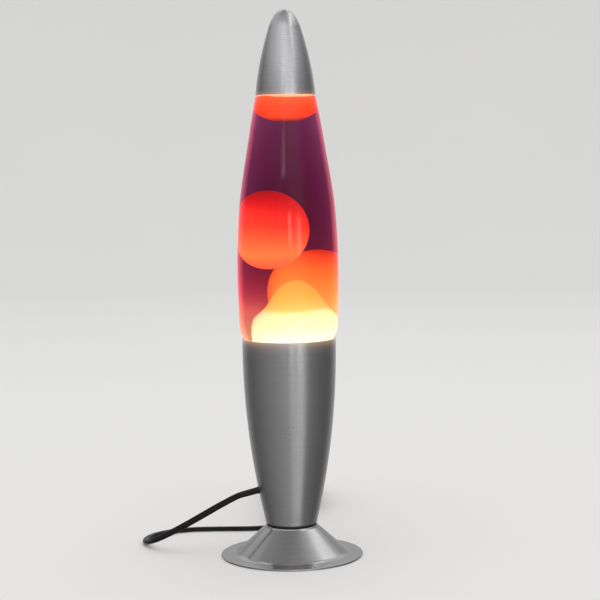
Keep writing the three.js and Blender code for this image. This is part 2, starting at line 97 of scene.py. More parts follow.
def arc(a, b, c, steps):
    """Points along the circular arc through three (r, z) points, both ends included."""
    (ax, ay), (bx, by), (cx, cy) = a, b, c
    d = 2 * (ax * (by - cy) + bx * (cy - ay) + cx * (ay - by))
    a2, b2, c2 = ax * ax + ay * ay, bx * bx + by * by, cx * cx + cy * cy
    ux = (a2 * (by - cy) + b2 * (cy - ay) + c2 * (ay - by)) / d
    uy = (a2 * (cx - bx) + b2 * (ax - cx) + c2 * (bx - ax)) / d
    radius = math.hypot(ax - ux, ay - uy)
    start = math.atan2(ay - uy, ax - ux)
    turn = math.atan2(cy - uy, cx - ux) - start
    turn = math.atan2(math.sin(turn), math.cos(turn))
    angles = [start + turn * i / steps for i in range(steps + 1)]
    return [(ux + radius * math.cos(t), uy + radius * math.sin(t)) for t in angles]


def fillet(points, steps=4):
    """Rounds the corners of a polyline. Each point is (r, z) or (r, z, radius)."""
    out = []
    for i, point in enumerate(points):
        p = np.array(point[:2], float)
        radius = point[2] if len(point) > 2 else 0
        if not radius or i in (0, len(points) - 1):
            out.append(tuple(p))
            continue
        before = np.array(points[i - 1][:2], float) - p
        after = np.array(points[i + 1][:2], float) - p
        lb, la = np.linalg.norm(before), np.linalg.norm(after)
        before, after = before / lb, after / la
        half = math.acos(max(-1, min(1, float(before @ after)))) / 2
        reach = min(radius / math.tan(half), 0.48 * lb, 0.48 * la)
        start, end = p + before * reach, p + after * reach
        for k in range(steps + 1):
            t = k / steps
            out.append(tuple((1 - t) ** 2 * start + 2 * t * (1 - t) * p + t * t * end))
    return out


def between(s, low, high, a, b):
    """The point at s on the straight way from a, at low, to b, at high."""
    return (high - s) / (high - low) * a + (s - low) / (high - low) * b


def smooth(points, per_span):
    """A centripetal Catmull-Rom curve through points of any dimension."""
    p = np.array(points, float)
    p = np.vstack([2 * p[0] - p[1], p, 2 * p[-1] - p[-2]])
    out = []
    for i in range(1, len(p) - 2):
        quad = p[i - 1 : i + 3]
        t = [0.0]
        for k in range(3):
            t.append(t[-1] + math.sqrt(np.linalg.norm(quad[k + 1] - quad[k])))
        last = i == len(p) - 3
        for s in np.linspace(t[1], t[2], per_span + 1)[: None if last else -1]:
            a = [between(s, t[k], t[k + 1], quad[k], quad[k + 1]) for k in range(3)]
            b = [between(s, t[k], t[k + 2], a[k], a[k + 1]) for k in range(2)]
            out.append(between(s, t[1], t[2], b[0], b[1]))
    return np.array(out)


def curve(points, per_span):
    """The same curve as a list of tuples."""
    return [tuple(p) for p in smooth(points, per_span)]


def sections(name, rings, sharp=35.0, cap=True):
    """A skin over equal-sized closed rings of points in metres, capped at both ends."""
    n = len(rings[0])
    vertices = [tuple(p) for ring in rings for p in ring]
    faces = []
    for k in range(len(rings) - 1):
        for i in range(n):
            j = (i + 1) % n
            faces.append((k * n + i, k * n + j, (k + 1) * n + j, (k + 1) * n + i))
    if cap:
        faces.append(tuple(range(n)))
        faces.append(tuple((len(rings) - 1) * n + i for i in range(n)))
    return new_object(name, vertices, faces, sharp)


def from_bmesh(name, bm):
    """A new object whose mesh is the finished bm."""
    mesh = bpy.data.meshes.new(name)
    bm.to_mesh(mesh)
    bm.free()
    obj = bpy.data.objects.new(name, mesh)
    scene.collection.objects.link(obj)
    return obj


def apply_modifiers(obj):
    """Replaces the mesh by its evaluated one."""
    depsgraph = bpy.context.evaluated_depsgraph_get()
    mesh = bpy.data.meshes.new_from_object(obj.evaluated_get(depsgraph))
    obj.modifiers.clear()
    obj.data = mesh


def drill(obj, *cutters):
    """Cuts the cutters out of obj, and deletes them."""
    for cutter in cutters:
        modifier = obj.modifiers.new("cut", "BOOLEAN")
        modifier.object = cutter
        modifier.solver = "EXACT"
        apply_modifiers(obj)
        bpy.data.objects.remove(cutter)
    tidy_mesh(obj)


def piece(obj, body, slot, material, *nodes):
    """obj rides on body, stands for the CAD nodes, and takes its look from material."""
    obj.data.materials.clear()
    obj.data.materials.append(material)
    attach(obj, body)
    if nodes:
        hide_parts(*nodes)
    return obj


# ---------------- material helpers


class Graph:
    """A node tree under construction."""

    def __init__(self, tree):
        self.tree = tree
        tree.nodes.clear()

    def add(self, kind, inputs=(), **settings):
        node = self.tree.nodes.new("ShaderNode" + kind)
        for key, value in settings.items():
            setattr(node, key, value)
        for key, value in dict(inputs).items():
            self.put(node.inputs[key], value)
        return node

    def put(self, socket, value):
        if isinstance(value, bpy.types.NodeSocket):
            self.tree.links.new(value, socket)
        elif isinstance(value, (tuple, list)) and len(value) == 3 and socket.type == "RGBA":
            socket.default_value = (*value, 1)
        else:
            socket.default_value = value

    def math(self, operation, a, b=0.0, c=0.0):
        return self.add("Math", {0: a, 1: b, 2: c}, operation=operation).outputs[0]

    def times(self, a, b):
        return self.math("MULTIPLY", a, b)

    def plus(self, a, b):
        return self.math("ADD", a, b)

    def minus(self, a, b):
        return self.math("SUBTRACT", a, b)

    def parts(self, vector):
        return self.add("SeparateXYZ", {0: vector}).outputs

    def ramp(self, factor, stops, interpolation="LINEAR"):
        node = self.add("ValToRGB", {"Fac": factor})
        elements = node.color_ramp.elements
        node.color_ramp.interpolation = interpolation
        while len(elements) > 1:
            elements.remove(elements[-1])
        for i, (at, colour) in enumerate(stops):
            element = elements[0] if i == 0 else elements.new(at)
            element.position = at
            element.color = (*colour, 1)
        return node.outputs["Color"]

    def remap(self, value, low, high, to_low=0.0, to_high=1.0):
        inputs = {"Value": value, "From Min": low, "From Max": high}
        inputs.update({"To Min": to_low, "To Max": to_high})
        return self.add("MapRange", inputs).outputs["Result"]

    def noise(self, vector, scale, detail=2.0, roughness=0.5):
        inputs = {"Vector": vector, "Scale": scale, "Detail": detail, "Roughness": roughness}
        return self.add("TexNoise", inputs).outputs["Fac"]

    def bump(self, height, strength, distance):
        inputs = {"Height": height, "Strength": strength, "Distance": distance}
        return self.add("Bump", inputs).outputs["Normal"]

    def shade(self, factor, dark, light):
        """A colour between two, by factor."""
        node = self.add("Mix", {"Factor": factor}, data_type="RGBA")
        self.put(node.inputs[6], dark)
        self.put(node.inputs[7], light)
        return node.outputs[2]


def new_material(name):
    material = bpy.data.materials.new(name)
    material.use_nodes = True
    graph = Graph(material.node_tree)
    place = graph.add("TexCoord").outputs["Object"]
    return material, graph, place


def surface(graph, inputs, volume=None):
    """Ends a material in one principled shader, with a volume inside where one is given."""
    shader = graph.add("BsdfPrincipled", inputs).outputs[0]
    node = graph.add("OutputMaterial", {"Surface": shader})
    if volume is not None:
        graph.put(node.inputs["Volume"], volume)


def stretched(graph, place, across, along):
    """Coordinates that follow the turning: x and y scaled by across, radius and z by along."""
    parts = graph.parts(place)
    flat = graph.times(parts["X"], parts["X"])
    flat = graph.math("MULTIPLY_ADD", parts["Y"], parts["Y"], flat)
    radius = graph.math("SQRT", flat)
    line = graph.math("MULTIPLY_ADD", radius, 1.37, parts["Z"])
    x = graph.times(parts["X"], across)
    y = graph.times(parts["Y"], across)
    z = graph.times(line, along)
    return graph.add("CombineXYZ", {"X": x, "Y": y, "Z": z}).outputs[0]


def spun_metal(name, colour, roughness, anisotropy, line_depth, lines=2600.0, contrast=0.06, painted_glow=None):
    """Turned sheet metal: fine rings round the axis, with soft smudges over them.

    painted_glow is painted light on its edge, an emission that stands for the wax's light falling there:
    (height, reach, colour).
    """
    material, g, place = new_material(name)
    grain = g.noise(stretched(g, place, 18.0, lines), 1.0, 3.0, 0.6)
    wide = g.noise(stretched(g, place, 9.0, lines / 7), 1.0, 2.0)
    smudge = g.noise(place, 26.0, 3.0)
    mixed = g.math("MULTIPLY_ADD", wide, 0.35, g.times(grain, 0.65))
    dark = [c * (1 - contrast) for c in colour]
    tone = g.shade(mixed, dark, [min(1, c * (1 + contrast)) for c in colour])
    rough = g.plus(g.remap(grain, 0.25, 0.75, -0.03, 0.03), roughness)
    rough = g.plus(rough, g.remap(smudge, 0.3, 0.7, -0.02, 0.03))
    tangent = g.add("Tangent", direction_type="RADIAL", axis="Z").outputs[0]
    inputs = {
        "Base Color": tone,
        "Metallic": 1.0,
        "Roughness": rough,
        "Anisotropic": anisotropy,
        "Anisotropic Rotation": 0.25,
        "Tangent": tangent,
        "Normal": g.bump(mixed, 0.3, line_depth),
    }
    # Painted glow: emission that fades with distance from one height, standing for wax light on the metal.
    if painted_glow:
        height, reach, inputs["Emission Color"] = painted_glow
        away = g.math("ABSOLUTE", g.minus(g.parts(place)["Z"], height))
        inputs["Emission Strength"] = g.math("EXPONENT", g.times(away, -1 / reach))
    surface(g, inputs)
    return material


def plain_metal(name, colour, roughness, grain=900.0, depth=0.00002):
    """Cast, plated or pressed metal with a fine grain and some tarnish."""
    material, g, place = new_material(name)
    fine = g.noise(place, grain, 3.0, 0.6)
    stain = g.noise(place, 60.0, 4.0, 0.6)
    tone = g.shade(g.remap(stain, 0.35, 0.7), colour, [c * 0.72 for c in colour])
    rough = g.plus(g.remap(stain, 0.3, 0.7, -0.06, 0.1), roughness)
    inputs = {
        "Base Color": tone,
        "Metallic": 1.0,
        "Roughness": rough,
        "Normal": g.bump(fine, 0.6, depth),
    }
    surface(g, inputs)
    return material


def moulded(name, colour, roughness, grain=2500.0, depth=0.00002, coat=0.0, specular=0.5):
    """Plastic or rubber with a fine moulded texture and handling marks."""
    material, g, place = new_material(name)
    fine = g.noise(place, grain, 2.0, 0.6)
    marks = g.noise(place, 90.0, 4.0, 0.65)
    light = [min(1.0, c * 1.5 + 0.004) for c in colour]
    tone = g.shade(g.remap(marks, 0.3, 0.75), colour, light)
    rough = g.plus(g.remap(marks, 0.3, 0.7, -0.07, 0.08), roughness)
    inputs = {
        "Base Color": tone,
        "Roughness": rough,
        "Specular IOR Level": specular,
        "Coat Weight": coat,
        "Coat Roughness": 0.2,
        "Normal": g.bump(fine, 0.5, depth),
    }
    surface(g, inputs)
    return material


# ---------------- camera


LENS = 101.8
CAMERA_AT = (0.0089, -1.3, 0.316)
CAMERA_DOWN = 5.156  # degrees below level
CAMERA_ROLL = -0.8


def make_camera():
    data = bpy.data.cameras.new("camera")
    data.sensor_width = 36.0
    data.lens = LENS
    data.clip_end = 50.0
    camera = bpy.data.objects.new("camera", data)
    scene.collection.objects.link(camera)
    tilt = Matrix.Rotation(math.radians(90 - CAMERA_DOWN), 4, "X")
    roll = Matrix.Rotation(math.radians(CAMERA_ROLL), 4, "Z")
    camera.matrix_world = Matrix.Translation(CAMERA_AT) @ tilt @ roll
    scene.camera = camera


make_camera()


# ---------------- cord route

EXIT = np.array([-25.1, 0.0, 51.0])  # where the cord leaves the cup
EXIT_SLOPE = math.radians(15)
EXIT_DIR = np.array([-math.cos(EXIT_SLOPE), 0.0, -math.sin(EXIT_SLOPE)])
EXIT_TURN = 60  # degrees that the cord's wide side leans from upright there
FLAT = {"width": 5.2, "height": 3.2}
CORD_Z = 1.7
SWITCH_X, SWITCH_Z = -8.0, 2.6
SWITCH_Y = (106.7, 159.3)
HANK = {"near": 186.0, "far": 234.0, "outer": 18.9, "inner": 15.6, "low": 3.8, "pitch": 5.3}
PLUG_X, PLUG_Z = 6.0, 24.4

LEAD = [
    tuple(EXIT + EXIT_DIR * 4), tuple(EXIT + EXIT_DIR * 15.3), (-53, 0, 40.6), (-66.5, 0, 33.1),
    (-80, 2, 25.2), (-93, 7, 17.4), (-104.5, 15.5, 10.4), (-113, 27, 5.3), (-117.5, 40.5, 2.5),
    (-116.5, 55, CORD_Z), (-109.5, 68, CORD_Z), (-98, 77.5, CORD_Z), (-84, 82.8, CORD_Z),
    (-67, 84.2, CORD_Z), (-48, 84, CORD_Z), (-33, 84, CORD_Z), (-22.5, 86.4, CORD_Z),
    (-13.6, 92.4, CORD_Z), (-8.8, 100, CORD_Z + 0.3), (SWITCH_X, SWITCH_Y[0], SWITCH_Z),
]
TAIL = [
    (15.6, 231, 21), (14.6, 225.5, 22), (12, 220, 23), (8.4, 214.4, 24), (PLUG_X, 207, PLUG_Z),
    (PLUG_X, 200, PLUG_Z),
]


def ease(t):
    """A smooth step from 0 to 1."""
    t = max(0.0, min(1.0, t))
    return t * t * (3 - 2 * t)


def hank_turns():
    """Six turns of a stadium in three layers, clockwise from above, then half a turn that climbs."""
    near, far = HANK["near"], HANK["far"]
    outer, inner = HANK["outer"], HANK["inner"]
    levels = [HANK["low"] + HANK["pitch"] * k for k in range(3)]
    order = [(outer, 0), (inner, 0), (inner, 1), (outer, 1), (outer, 2), (inner, 2)]
    turns = [(r, levels[layer]) for r, layer in order]
    points = []
    for k, (r, z) in enumerate(turns):
        for t in np.linspace(0, 1, 8, endpoint=False):
            points.append((-r, near + (far - near) * t, z))
        last = k == len(turns) - 1
        rise = TAIL[0][2] - z if last else 0.0
        for t in np.linspace(0, 1, 16, endpoint=False):
            a = math.pi * (1 - t)
            points.append((r * math.cos(a), far + r * math.sin(a), z + rise * ease(t)))
        if last:
            return points
        for t in np.linspace(0, 1, 8, endpoint=False):
            points.append((r, far - (far - near) * t, z))
        to_r, to_z = turns[k + 1]
        for t in np.linspace(0, 1, 16, endpoint=False):
            a = -math.pi * t
            s = ease(t * 1.25 - 0.1)
            now = r + (to_r - r) * s
            points.append((now * math.cos(a), near + now * math.sin(a), z + (to_z - z) * s))


def cord_route():
    link = [
        (SWITCH_X, SWITCH_Y[1], SWITCH_Z),
        (-8.6, 163.0, SWITCH_Z),
        (-10.6, 166.6, 2.8),
        (-14.6, 171.0, 3.2),
        (-17.6, 176.6, 3.6),
    ]
    inside = [(SWITCH_X, y, SWITCH_Z) for y in np.linspace(*SWITCH_Y, 8)[1:-1]]
    points = np.array([*LEAD, *inside, *link, *hank_turns(), *TAIL], float)
    line = smooth(points, 6)
    steps = np.linalg.norm(np.diff(line, axis=0), axis=1)
    at = np.concatenate([[0], np.cumsum(steps)])
    n = int(at[-1] / 2.2)
    even = np.linspace(0, at[-1], n + 1)
    return np.stack([np.interp(even, at, line[:, k]) for k in range(3)], axis=1), at[-1]


def flat_section(count=24):
    """The flat twin cord's outline in mm: two round cores side by side with a shallow groove."""
    half = FLAT["height"] / 2
    core = FLAT["width"] / 2 - half
    out = []
    for i in range(count):
        a = 2 * math.pi * i / count
        u = (core + half) * math.cos(a)
        lobe = max(0.0, half**2 - max(0.0, abs(u) - core) ** 2)
        v = math.sqrt(lobe) - 0.28 * math.exp(-((u / 0.55) ** 2))
        out.append((u, math.copysign(max(v, 0.0), math.sin(a))))
    return out


def twist(point):
    """Angle of the cord's wide side from upright, in degrees, by where it is."""
    x, y, _ = point
    if y > 150:
        turned = 90 * (1 - ease((y - 161) / 14))
        return turned if point[2] < 17.5 else 90 * ease((point[2] - 17.5) / 4.5)
    if x < -8.5 and y < 30:
        return EXIT_TURN - 29 * ease((-x - 25) / 45)
    return 31 + 59 * ease((y - 8) / 40)


def across_cord(tangent, angle):
    """Directions of the cord's wide and thin sides; the angle is the wide one's from upright."""
    side = np.cross(tangent, (0, 0, 1))
    side /= np.linalg.norm(side)
    up = np.cross(side, tangent)
    a = math.radians(angle)
    wide = math.cos(a) * up + math.sin(a) * side
    return wide, np.cross(tangent, wide)


def sweep(name, route, section, angle):
    """A tube of the section along the route, in mm; angle(point) turns it from upright."""
    tangent = np.gradient(route, axis=0)
    tangent /= np.linalg.norm(tangent, axis=1)[:, None]
    rings = []
    for p, t in zip(route, tangent):
        wide, thin = across_cord(t, angle(p))
        rings.append([(p + u * wide + v * thin) * MM for u, v in section])
    return sections(name, rings, sharp=60.0)


cord_line, cord_length = cord_route()
cord = sweep("power_cord", cord_line, flat_section(), twist)


# ---------------- materials

ALUMINIUM = (0.5, 0.5, 0.505)
# Painted glow of wax light on the cup's rim and on the cap's lower edge: height, reach, colour.
CUP_PAINTED_GLOW = (0.1704, 0.0028, (0.46, 0.29, 0.2))
CAP_PAINTED_GLOW = (0.3547, 0.0012, (0.5, 0.17, 0.06))
metal_cup = spun_metal("cup_metal", ALUMINIUM, 0.29, 0.75, 0.000012, painted_glow=CUP_PAINTED_GLOW)
metal_foot = spun_metal("foot_metal", ALUMINIUM, 0.21, 0.5, 0.000009)
# The cap's aluminium is a lighter copy of the cup's: painted light, for the brighter look the cap has.
CAP_LIT_ALUMINIUM = (0.66, 0.655, 0.675)
metal_cap = spun_metal("cap_metal", CAP_LIT_ALUMINIUM, 0.27, 0.7, 0.000004, contrast=0.03, painted_glow=CAP_PAINTED_GLOW)
closure_metal = spun_metal("closure_metal", (0.62, 0.62, 0.62), 0.35, 0.3, 0.00002)
cast_iron = plain_metal("cast_iron", (0.075, 0.075, 0.078), 0.6, 500.0, 0.0002)
zinc = plain_metal("zinc_steel", (0.56, 0.57, 0.58), 0.34)
coil_steel = plain_metal("coil_steel", (0.32, 0.27, 0.24), 0.42)
brass = plain_metal("brass_metal", (0.72, 0.52, 0.2), 0.3)
nickel = plain_metal("nickel_plate", (0.66, 0.65, 0.62), 0.22)
black_rubber = moulded("black_rubber", (0.007, 0.007, 0.0075), 0.6, 1800.0, 0.00004, specular=0.3)
neck_rubber = moulded("neck_rubber", (0.006, 0.006, 0.006), 0.5, 1800.0, 0.00002)
cord_plastic = moulded("cord_plastic", (0.003, 0.003, 0.0035), 0.3, 900.0, 0.00002, specular=0.22)
black_plastic = moulded("black_plastic", (0.012, 0.012, 0.013), 0.38, 2600.0, 0.00003)
gloss_plastic = moulded("gloss_plastic", (0.01, 0.01, 0.011), 0.2, 1200.0, 0.00001, 0.5)
holder_plastic = moulded("holder_plastic", (0.016, 0.015, 0.015), 0.42)
wire_brown = moulded("wire_brown", (0.14, 0.055, 0.025), 0.4)
wire_blue = moulded("wire_blue", (0.03, 0.12, 0.42), 0.4)
liner_foam = moulded("liner_foam", (0.5, 0.48, 0.44), 0.8, 3000.0, 0.00006)


WET = "wet"  # mesh attribute: 1 where the glass touches the liquid
SOAK = (34.0, 80.0, 50.0)  # how fast the liquid soaks up red, green and blue, per metre


def clear_glass(name, wet=False):
    """Blown glass, faintly wavy. Where liquid wets its inside, light meets no surface there."""
    material, g, place = new_material(name)
    wave = g.noise(stretched(g, place, 14.0, 12.0), 1.0, 2.0)
    tint = g.shade(wave, (0.985, 0.98, 0.982), (1.0, 0.995, 0.997))
    inputs = {
        "Base Color": tint,
        "Roughness": 0.0,
        "IOR": 1.36,
        "Transmission Weight": 1.0,
        "Normal": g.bump(wave, 0.1, 0.001),
    }
    if not wet:
        surface(g, inputs)
        return material
    shader = g.add("BsdfPrincipled", inputs).outputs[0]
    inside = g.add("Attribute", attribute_name=WET).outputs["Fac"]
    clear = g.add("BsdfTransparent").outputs[0]
    mix = g.add("MixShader", {0: inside, 1: shader, 2: clear})
    g.add("OutputMaterial", {"Surface": mix.outputs[0]})
    return material


def tinted_liquid():
    """Clear liquid that soaks up green most, then blue, then red, with a painted glow near the wax and a
    painted rim glow.
    """
    material, g, place = new_material("tinted_liquid")
    swirl = g.noise(place, 30.0, 2.0)
    tint = g.shade(swirl, (0.985, 0.975, 0.985), (1.0, 1.0, 1.0))
    height = g.parts(place)["Z"]
    # Painted glow: emission standing for wax light in the liquid, strongest low down and fading above 0.2
    # m, plus a painted rim glow where the wall is seen edge-on.
    fade = g.times(g.minus(height, 0.2), -1 / 0.02)
    painted_wax_glow = g.times(g.math("MINIMUM", g.math("EXPONENT", fade), 1.4), 0.42)
    turned = g.add("LayerWeight", {"Blend": 0.5}).outputs["Facing"]
    painted_rim_glow = g.times(g.remap(turned, 0.27, 0.37), g.remap(height, 0.23, 0.29, 0.75, 0.36))
    colours = [
        (0.0, (1.0, 0.5, 0.2)),
        (0.1, (1.0, 0.25, 0.12)),
        (0.2, (1.0, 0.09, 0.07)),
        (0.3, (1.0, 0.05, 0.06)),
        (0.6, (1.0, 0.12, 0.2)),
    ]
    inputs = {
        "Base Color": tint,
        "Roughness": 0.0,
        "IOR": 1.0,
        "Transmission Weight": 1.0,
        "Emission Color": g.ramp(g.remap(height, 0.17, 0.34), colours),
        "Emission Strength": g.plus(painted_wax_glow, painted_rim_glow),
    }
    colour = tuple(1 - soak / SOAK[1] for soak in SOAK)
    volume = g.add("VolumeAbsorption", {"Color": colour, "Density": SOAK[1]})
    surface(g, inputs, volume.outputs[0])
    return material


def glowing_wax(name, low, high, stops, strength=1.15, reach=0.036):
    """Wax lit from below, its light painted as emission: coloured by its height in metres, and brighter
    towards the axis.
    """
    material, g, place = new_material(name)
    parts = g.parts(place)
    cloud = g.noise(place, 34.0, 3.0)
    wobble = g.math("MULTIPLY_ADD", g.remap(cloud, 0.3, 0.7, -0.5, 0.5), 0.003, parts["Z"])
    colour = g.ramp(g.remap(wobble, low, high), stops)
    flat = g.math("MULTIPLY_ADD", parts["Y"], parts["Y"], g.times(parts["X"], parts["X"]))
    deep = g.math("MAXIMUM", g.minus(reach, g.math("SQRT", flat)), 0.0)
    split = g.add("SeparateColor", {0: colour}).outputs
    lit = [
        g.times(split[k], g.math("EXPONENT", g.times(deep, soak * 0.9)))
        for k, soak in enumerate(SOAK)
    ]
    inputs = {
        "Base Color": g.shade(0.75, colour, (0.25, 0.012, 0.005)),
        "Roughness": 0.45,
        "Specular IOR Level": 0.3,
        "Emission Color": g.add("CombineColor", {0: lit[0], 1: lit[1], 2: lit[2]}).outputs[0],
        "Emission Strength": g.remap(cloud, 0.25, 0.75, strength * 0.95, strength * 1.05),
        "Normal": g.bump(g.noise(place, 60.0, 2.0), 0.25, 0.001),
    }
    surface(g, inputs)
    return material


glass = clear_glass("bottle_glass", wet=True)
bulb_glass = clear_glass("bulb_glass")
liquid = tinted_liquid()
# The ramps below are painted light: the bulb's light in the wax, palest low down and redder higher up.
wax_low = glowing_wax("wax_low", 0.155, 0.22, [
    (0.0, (1.0, 1.0, 0.85)),
    (0.22, (1.0, 0.98, 0.6)),
    (0.38, (1.0, 0.92, 0.42)),
    (0.55, (1.0, 0.84, 0.36)),
    (0.61, (1.0, 0.56, 0.09)),
    (0.72, (1.0, 0.5, 0.055)),
    (1.0, (1.0, 0.4, 0.05)),
])
wax_rise = glowing_wax("wax_rise", 0.165, 0.24, [
    (0.0, (1.0, 0.5, 0.08)),
    (0.5, (1.0, 0.34, 0.035)),
    (0.75, (1.0, 0.22, 0.02)),
    (0.92, (1.0, 0.1, 0.012)),
    (1.0, (0.7, 0.03, 0.01)),
])
wax_float = glowing_wax("wax_float", 0.222, 0.285, [
    (0.0, (1.0, 0.11, 0.04)),
    (0.2, (1.0, 0.225, 0.045)),
    (0.38, (1.0, 0.1, 0.02)),
    (0.55, (0.95, 0.03, 0.008)),
    (0.8, (0.6, 0.004, 0.004)),
    (1.0, (0.3, 0.002, 0.006)),
])
# In the dome's ramp, the dark red at the bottom is painted shade, and the pale band from 0.74 to 0.8 is a
# painted highlight line under the cap's edge.
wax_dome = glowing_wax("wax_dome", 0.334, 0.362, reach=0.022, stops=[
    (0.0, (0.28, 0.012, 0.012)),
    (0.15, (1.0, 0.07, 0.015)),
    (0.5, (1.0, 0.06, 0.012)),
    (0.705, (1.0, 0.08, 0.015)),
    (0.74, (1.0, 0.5, 0.3)),
    (0.8, (1.0, 0.45, 0.25)),
    (0.85, (1.0, 0.14, 0.03)),
    (1.0, (1.0, 0.1, 0.02)),
])


# ---------------- foot


def foot_profile():
    slope = curve([(20.4, 23.1), (27.6, 16.7), (34.6, 10.2), (40.4, 4.8)], 8)
    turn = arc((41.3, 4.0), (43.5, 2.4), (46.5, 1.75), 10)
    under = arc((46.4, 0.65), (43.0, 1.2), (40.7, 2.6), 8)
    return [
        (3.3, 22.9),
        (3.3, 24.0),
        *fillet([(8, 24.0), (20.1, 24.0, 0.8), (20.6, 22.9)], 5)[1:],
        *slope[1:],
        *turn,
        *fillet([(48, 1.66), (55.0, 1.3, 0.6), (55.0, 0.2, 0.3), (54.5, 0.0, 0.2), (52.8, 0.0)], 5),
        (52.3, 0.5),
        *under,
        (19.4, 22.3),
        (18.8, 22.8),
    ]


foot = lathe("foot_shell_spun", foot_profile(), closed=True, sharp=50)
piece(foot, "base", "spun_aluminium", metal_foot, "foot_shell")


def ring_profile(inner, outer, low, high, edge):
    """A closed rectangular section with rounded edges."""
    middle = ((inner + outer) / 2, low)
    corners = [(outer, low), (outer, high), (inner, high), (inner, low)]
    return fillet([middle, *[(*corner, edge) for corner in corners], middle], 3)[:-1]


def ring(name, inner, outer, low, high, edge, facets=BIG):
    return lathe(name, ring_profile(inner, outer, low, high, edge), facets, closed=True)


def weight_profile():
    bore = [(3.4, 22.3), (3.4, 10.2)]
    hollow = [(9.8, 10.2, 0.6), (10.2, 2.1, 0.6)]
    outside = [(39.4, 2.1, 0.6), (39.4, 2.9, 0.4), (18.2, 22.4, 0.8)]
    return fillet([*bore, *hollow, *outside, bore[0]], 4)[:-1]


weight = lathe("foot_weight_cast", weight_profile(), closed=True)
piece(weight, "base", "iron", cast_iron, "foot_weight")


def pad_profile():
    """A thin ring with narrow grooves in its underside."""
    groove = [(0, 0), (0, 0.5), (0.8, 0.5), (0.8, 0)]
    grooves = [(r + across, z) for r in range(15, 38, 3) for across, z in groove]
    return [(12.2, 1.7), (12.2, 0.2), (12.4, 0), *grooves, (38.8, 0), (39, 0.2), (39, 1.7)]


pad = lathe("foot_pad_moulded", pad_profile(), closed=True)
piece(pad, "base", "pad", black_rubber, "foot_pad")
neck = ring("neck_ring_moulded", 3.3, 19.4, 24.2, 25.6, 0.35)
piece(neck, "base", "neck_ring", neck_rubber, "neck_ring")


# ---------------- cup


def cup_profile():
    outer = arc((20.15, 27.6), (32.0, 95.0), (36.0, 168.8), 60)
    inner = arc((18.9, 27.6), (30.8, 95.0), (34.8, 168.8), 40)
    bead = arc((36.02, 169.4), (35.45, 170.4), (34.85, 169.6), 8)
    return [
        (3.3, 25.6),
        *fillet([(10, 25.6), (19.7, 25.6, 0.9), (20.15, 27.2)], 6)[1:],
        *outer,
        *bead,
        *inner[::-1],
        *fillet([(18.8, 27.4), (18.4, 26.8, 0.4), (3.3, 26.8)], 4),
    ]


def along_exit(obj):
    """Turns a piece made along +Z to lie along the cord's exit, from the cup's outside."""
    turn = Vector((0, 0, 1)).rotation_difference(Vector(EXIT_DIR)).to_matrix().to_4x4()
    obj.data.transform(Matrix.Translation(Vector(EXIT) * MM) @ turn)
    return obj


cup = lathe("cup_shell_spun", cup_profile(), closed=True, sharp=50)
hole = along_exit(lathe("hole", [(0, -9), (3.6, -9), (3.6, 9), (0, 9)], 48))
drill(cup, hole)
piece(cup, "base", "spun_aluminium", metal_cup, "cup_shell")


# ---------------- cap


def cap_profile():
    side = arc((22.9, 355.9), (18.35, 384.0), (13.1, 403.5), 40)
    tip = curve([(13.1, 403.5), (11.5, 408.4), (9.6, 412.4), (6.9, 416.6), (3.8, 419.2), (0, 420)], 8)
    side_in = arc((21.7, 355.9), (17.15, 384.0), (11.9, 403.1), 30)
    tip_in = curve([(11.9, 403.1), (10.3, 408), (8.5, 411.8), (5.9, 415.8), (3.2, 418), (0, 418.8)], 6)
    edge = arc((21.72, 355.5), (22.3, 354.7), (22.92, 355.4), 8)
    return [*edge, *side, *tip[1:], *tip_in[::-1], *side_in[::-1][1:]]


cap = lathe("top_cap_spun", cap_profile(), closed=True, sharp=50)
piece(cap, "cap", "spun_aluminium", metal_cap, "top_cap")


# ---------------- bottle and liquid

WALL = 2.2
BOTTOM = 156.0  # the inside floor
FULL = 366.0  # how high the liquid reaches
SIDE = [
    (34.4, 160.0), (34.4, 169.8), (35.5, 171.5), (36.7, 173.8), (37.5, 177.2), (38.1, 184.5),
    *arc((38.3, 193), (38.8, 213), (38, 251), 6), (36.4, 272.7), (34, 290.6), (30.2, 313.3),
    (26.6, 334.6), (23.25, 353.2),
]
side_curve = curve(SIDE, 7)


def inside_curve(inset):
    """The inside wall from the floor up to the shoulder, drawn in by inset."""
    wall = [(r - WALL - inset, z) for r, z in side_curve if z > 178]
    low = curve([(32.2, 160), (32.4, 169.6), (33.9, 173), (34.6, 174.5), (35.35, 177.7)], 6)
    return [
        *fillet([(20, BOTTOM + inset), (32.2 - inset, BOTTOM + inset, 3.5), (32.2 - inset, 164)], 8)[1:-1],
        *[(r - inset, z) for r, z in low],
        *wall,
    ]


inside_r, inside_z = np.array(inside_curve(0.0)).T


def wall_radius(z):
    """Inside radius of the bottle at height z, in mm."""
    return float(np.interp(z, inside_z, inside_r))


def bottle_profile():
    shoulder = curve([(20.9, 353), (18.2, 360.2), (15.3, 366.3), (12.2, 370.6), (11.0, 373.6)], 6)
    step = [(23.2, 353.6), (22.95, 354.5, 0.5), (21, 354.5, 0.6)]
    neck = [(20.3, 360, 2), (17.6, 366.4, 2), (14.8, 370.3, 2), (13.2, 373)]
    return [
        (0, 153.2),
        (10, 153.1),
        *fillet([(22, 152.8), (27.5, 152, 2), (32, 152, 3), (34.4, 155, 3), (34.4, 159.6)], 6),
        *side_curve,
        *fillet([*step, *neck], 4),
        *fillet([(13.2, 373.6), (14.0, 375, 0.6), (14.0, 384, 0.6), (11.0, 384, 0.6), (11.0, 374.6)], 5),
        *shoulder[::-1],
        *inside_curve(0.0)[::-1],
        (10, BOTTOM),
        (0, BOTTOM),
    ]


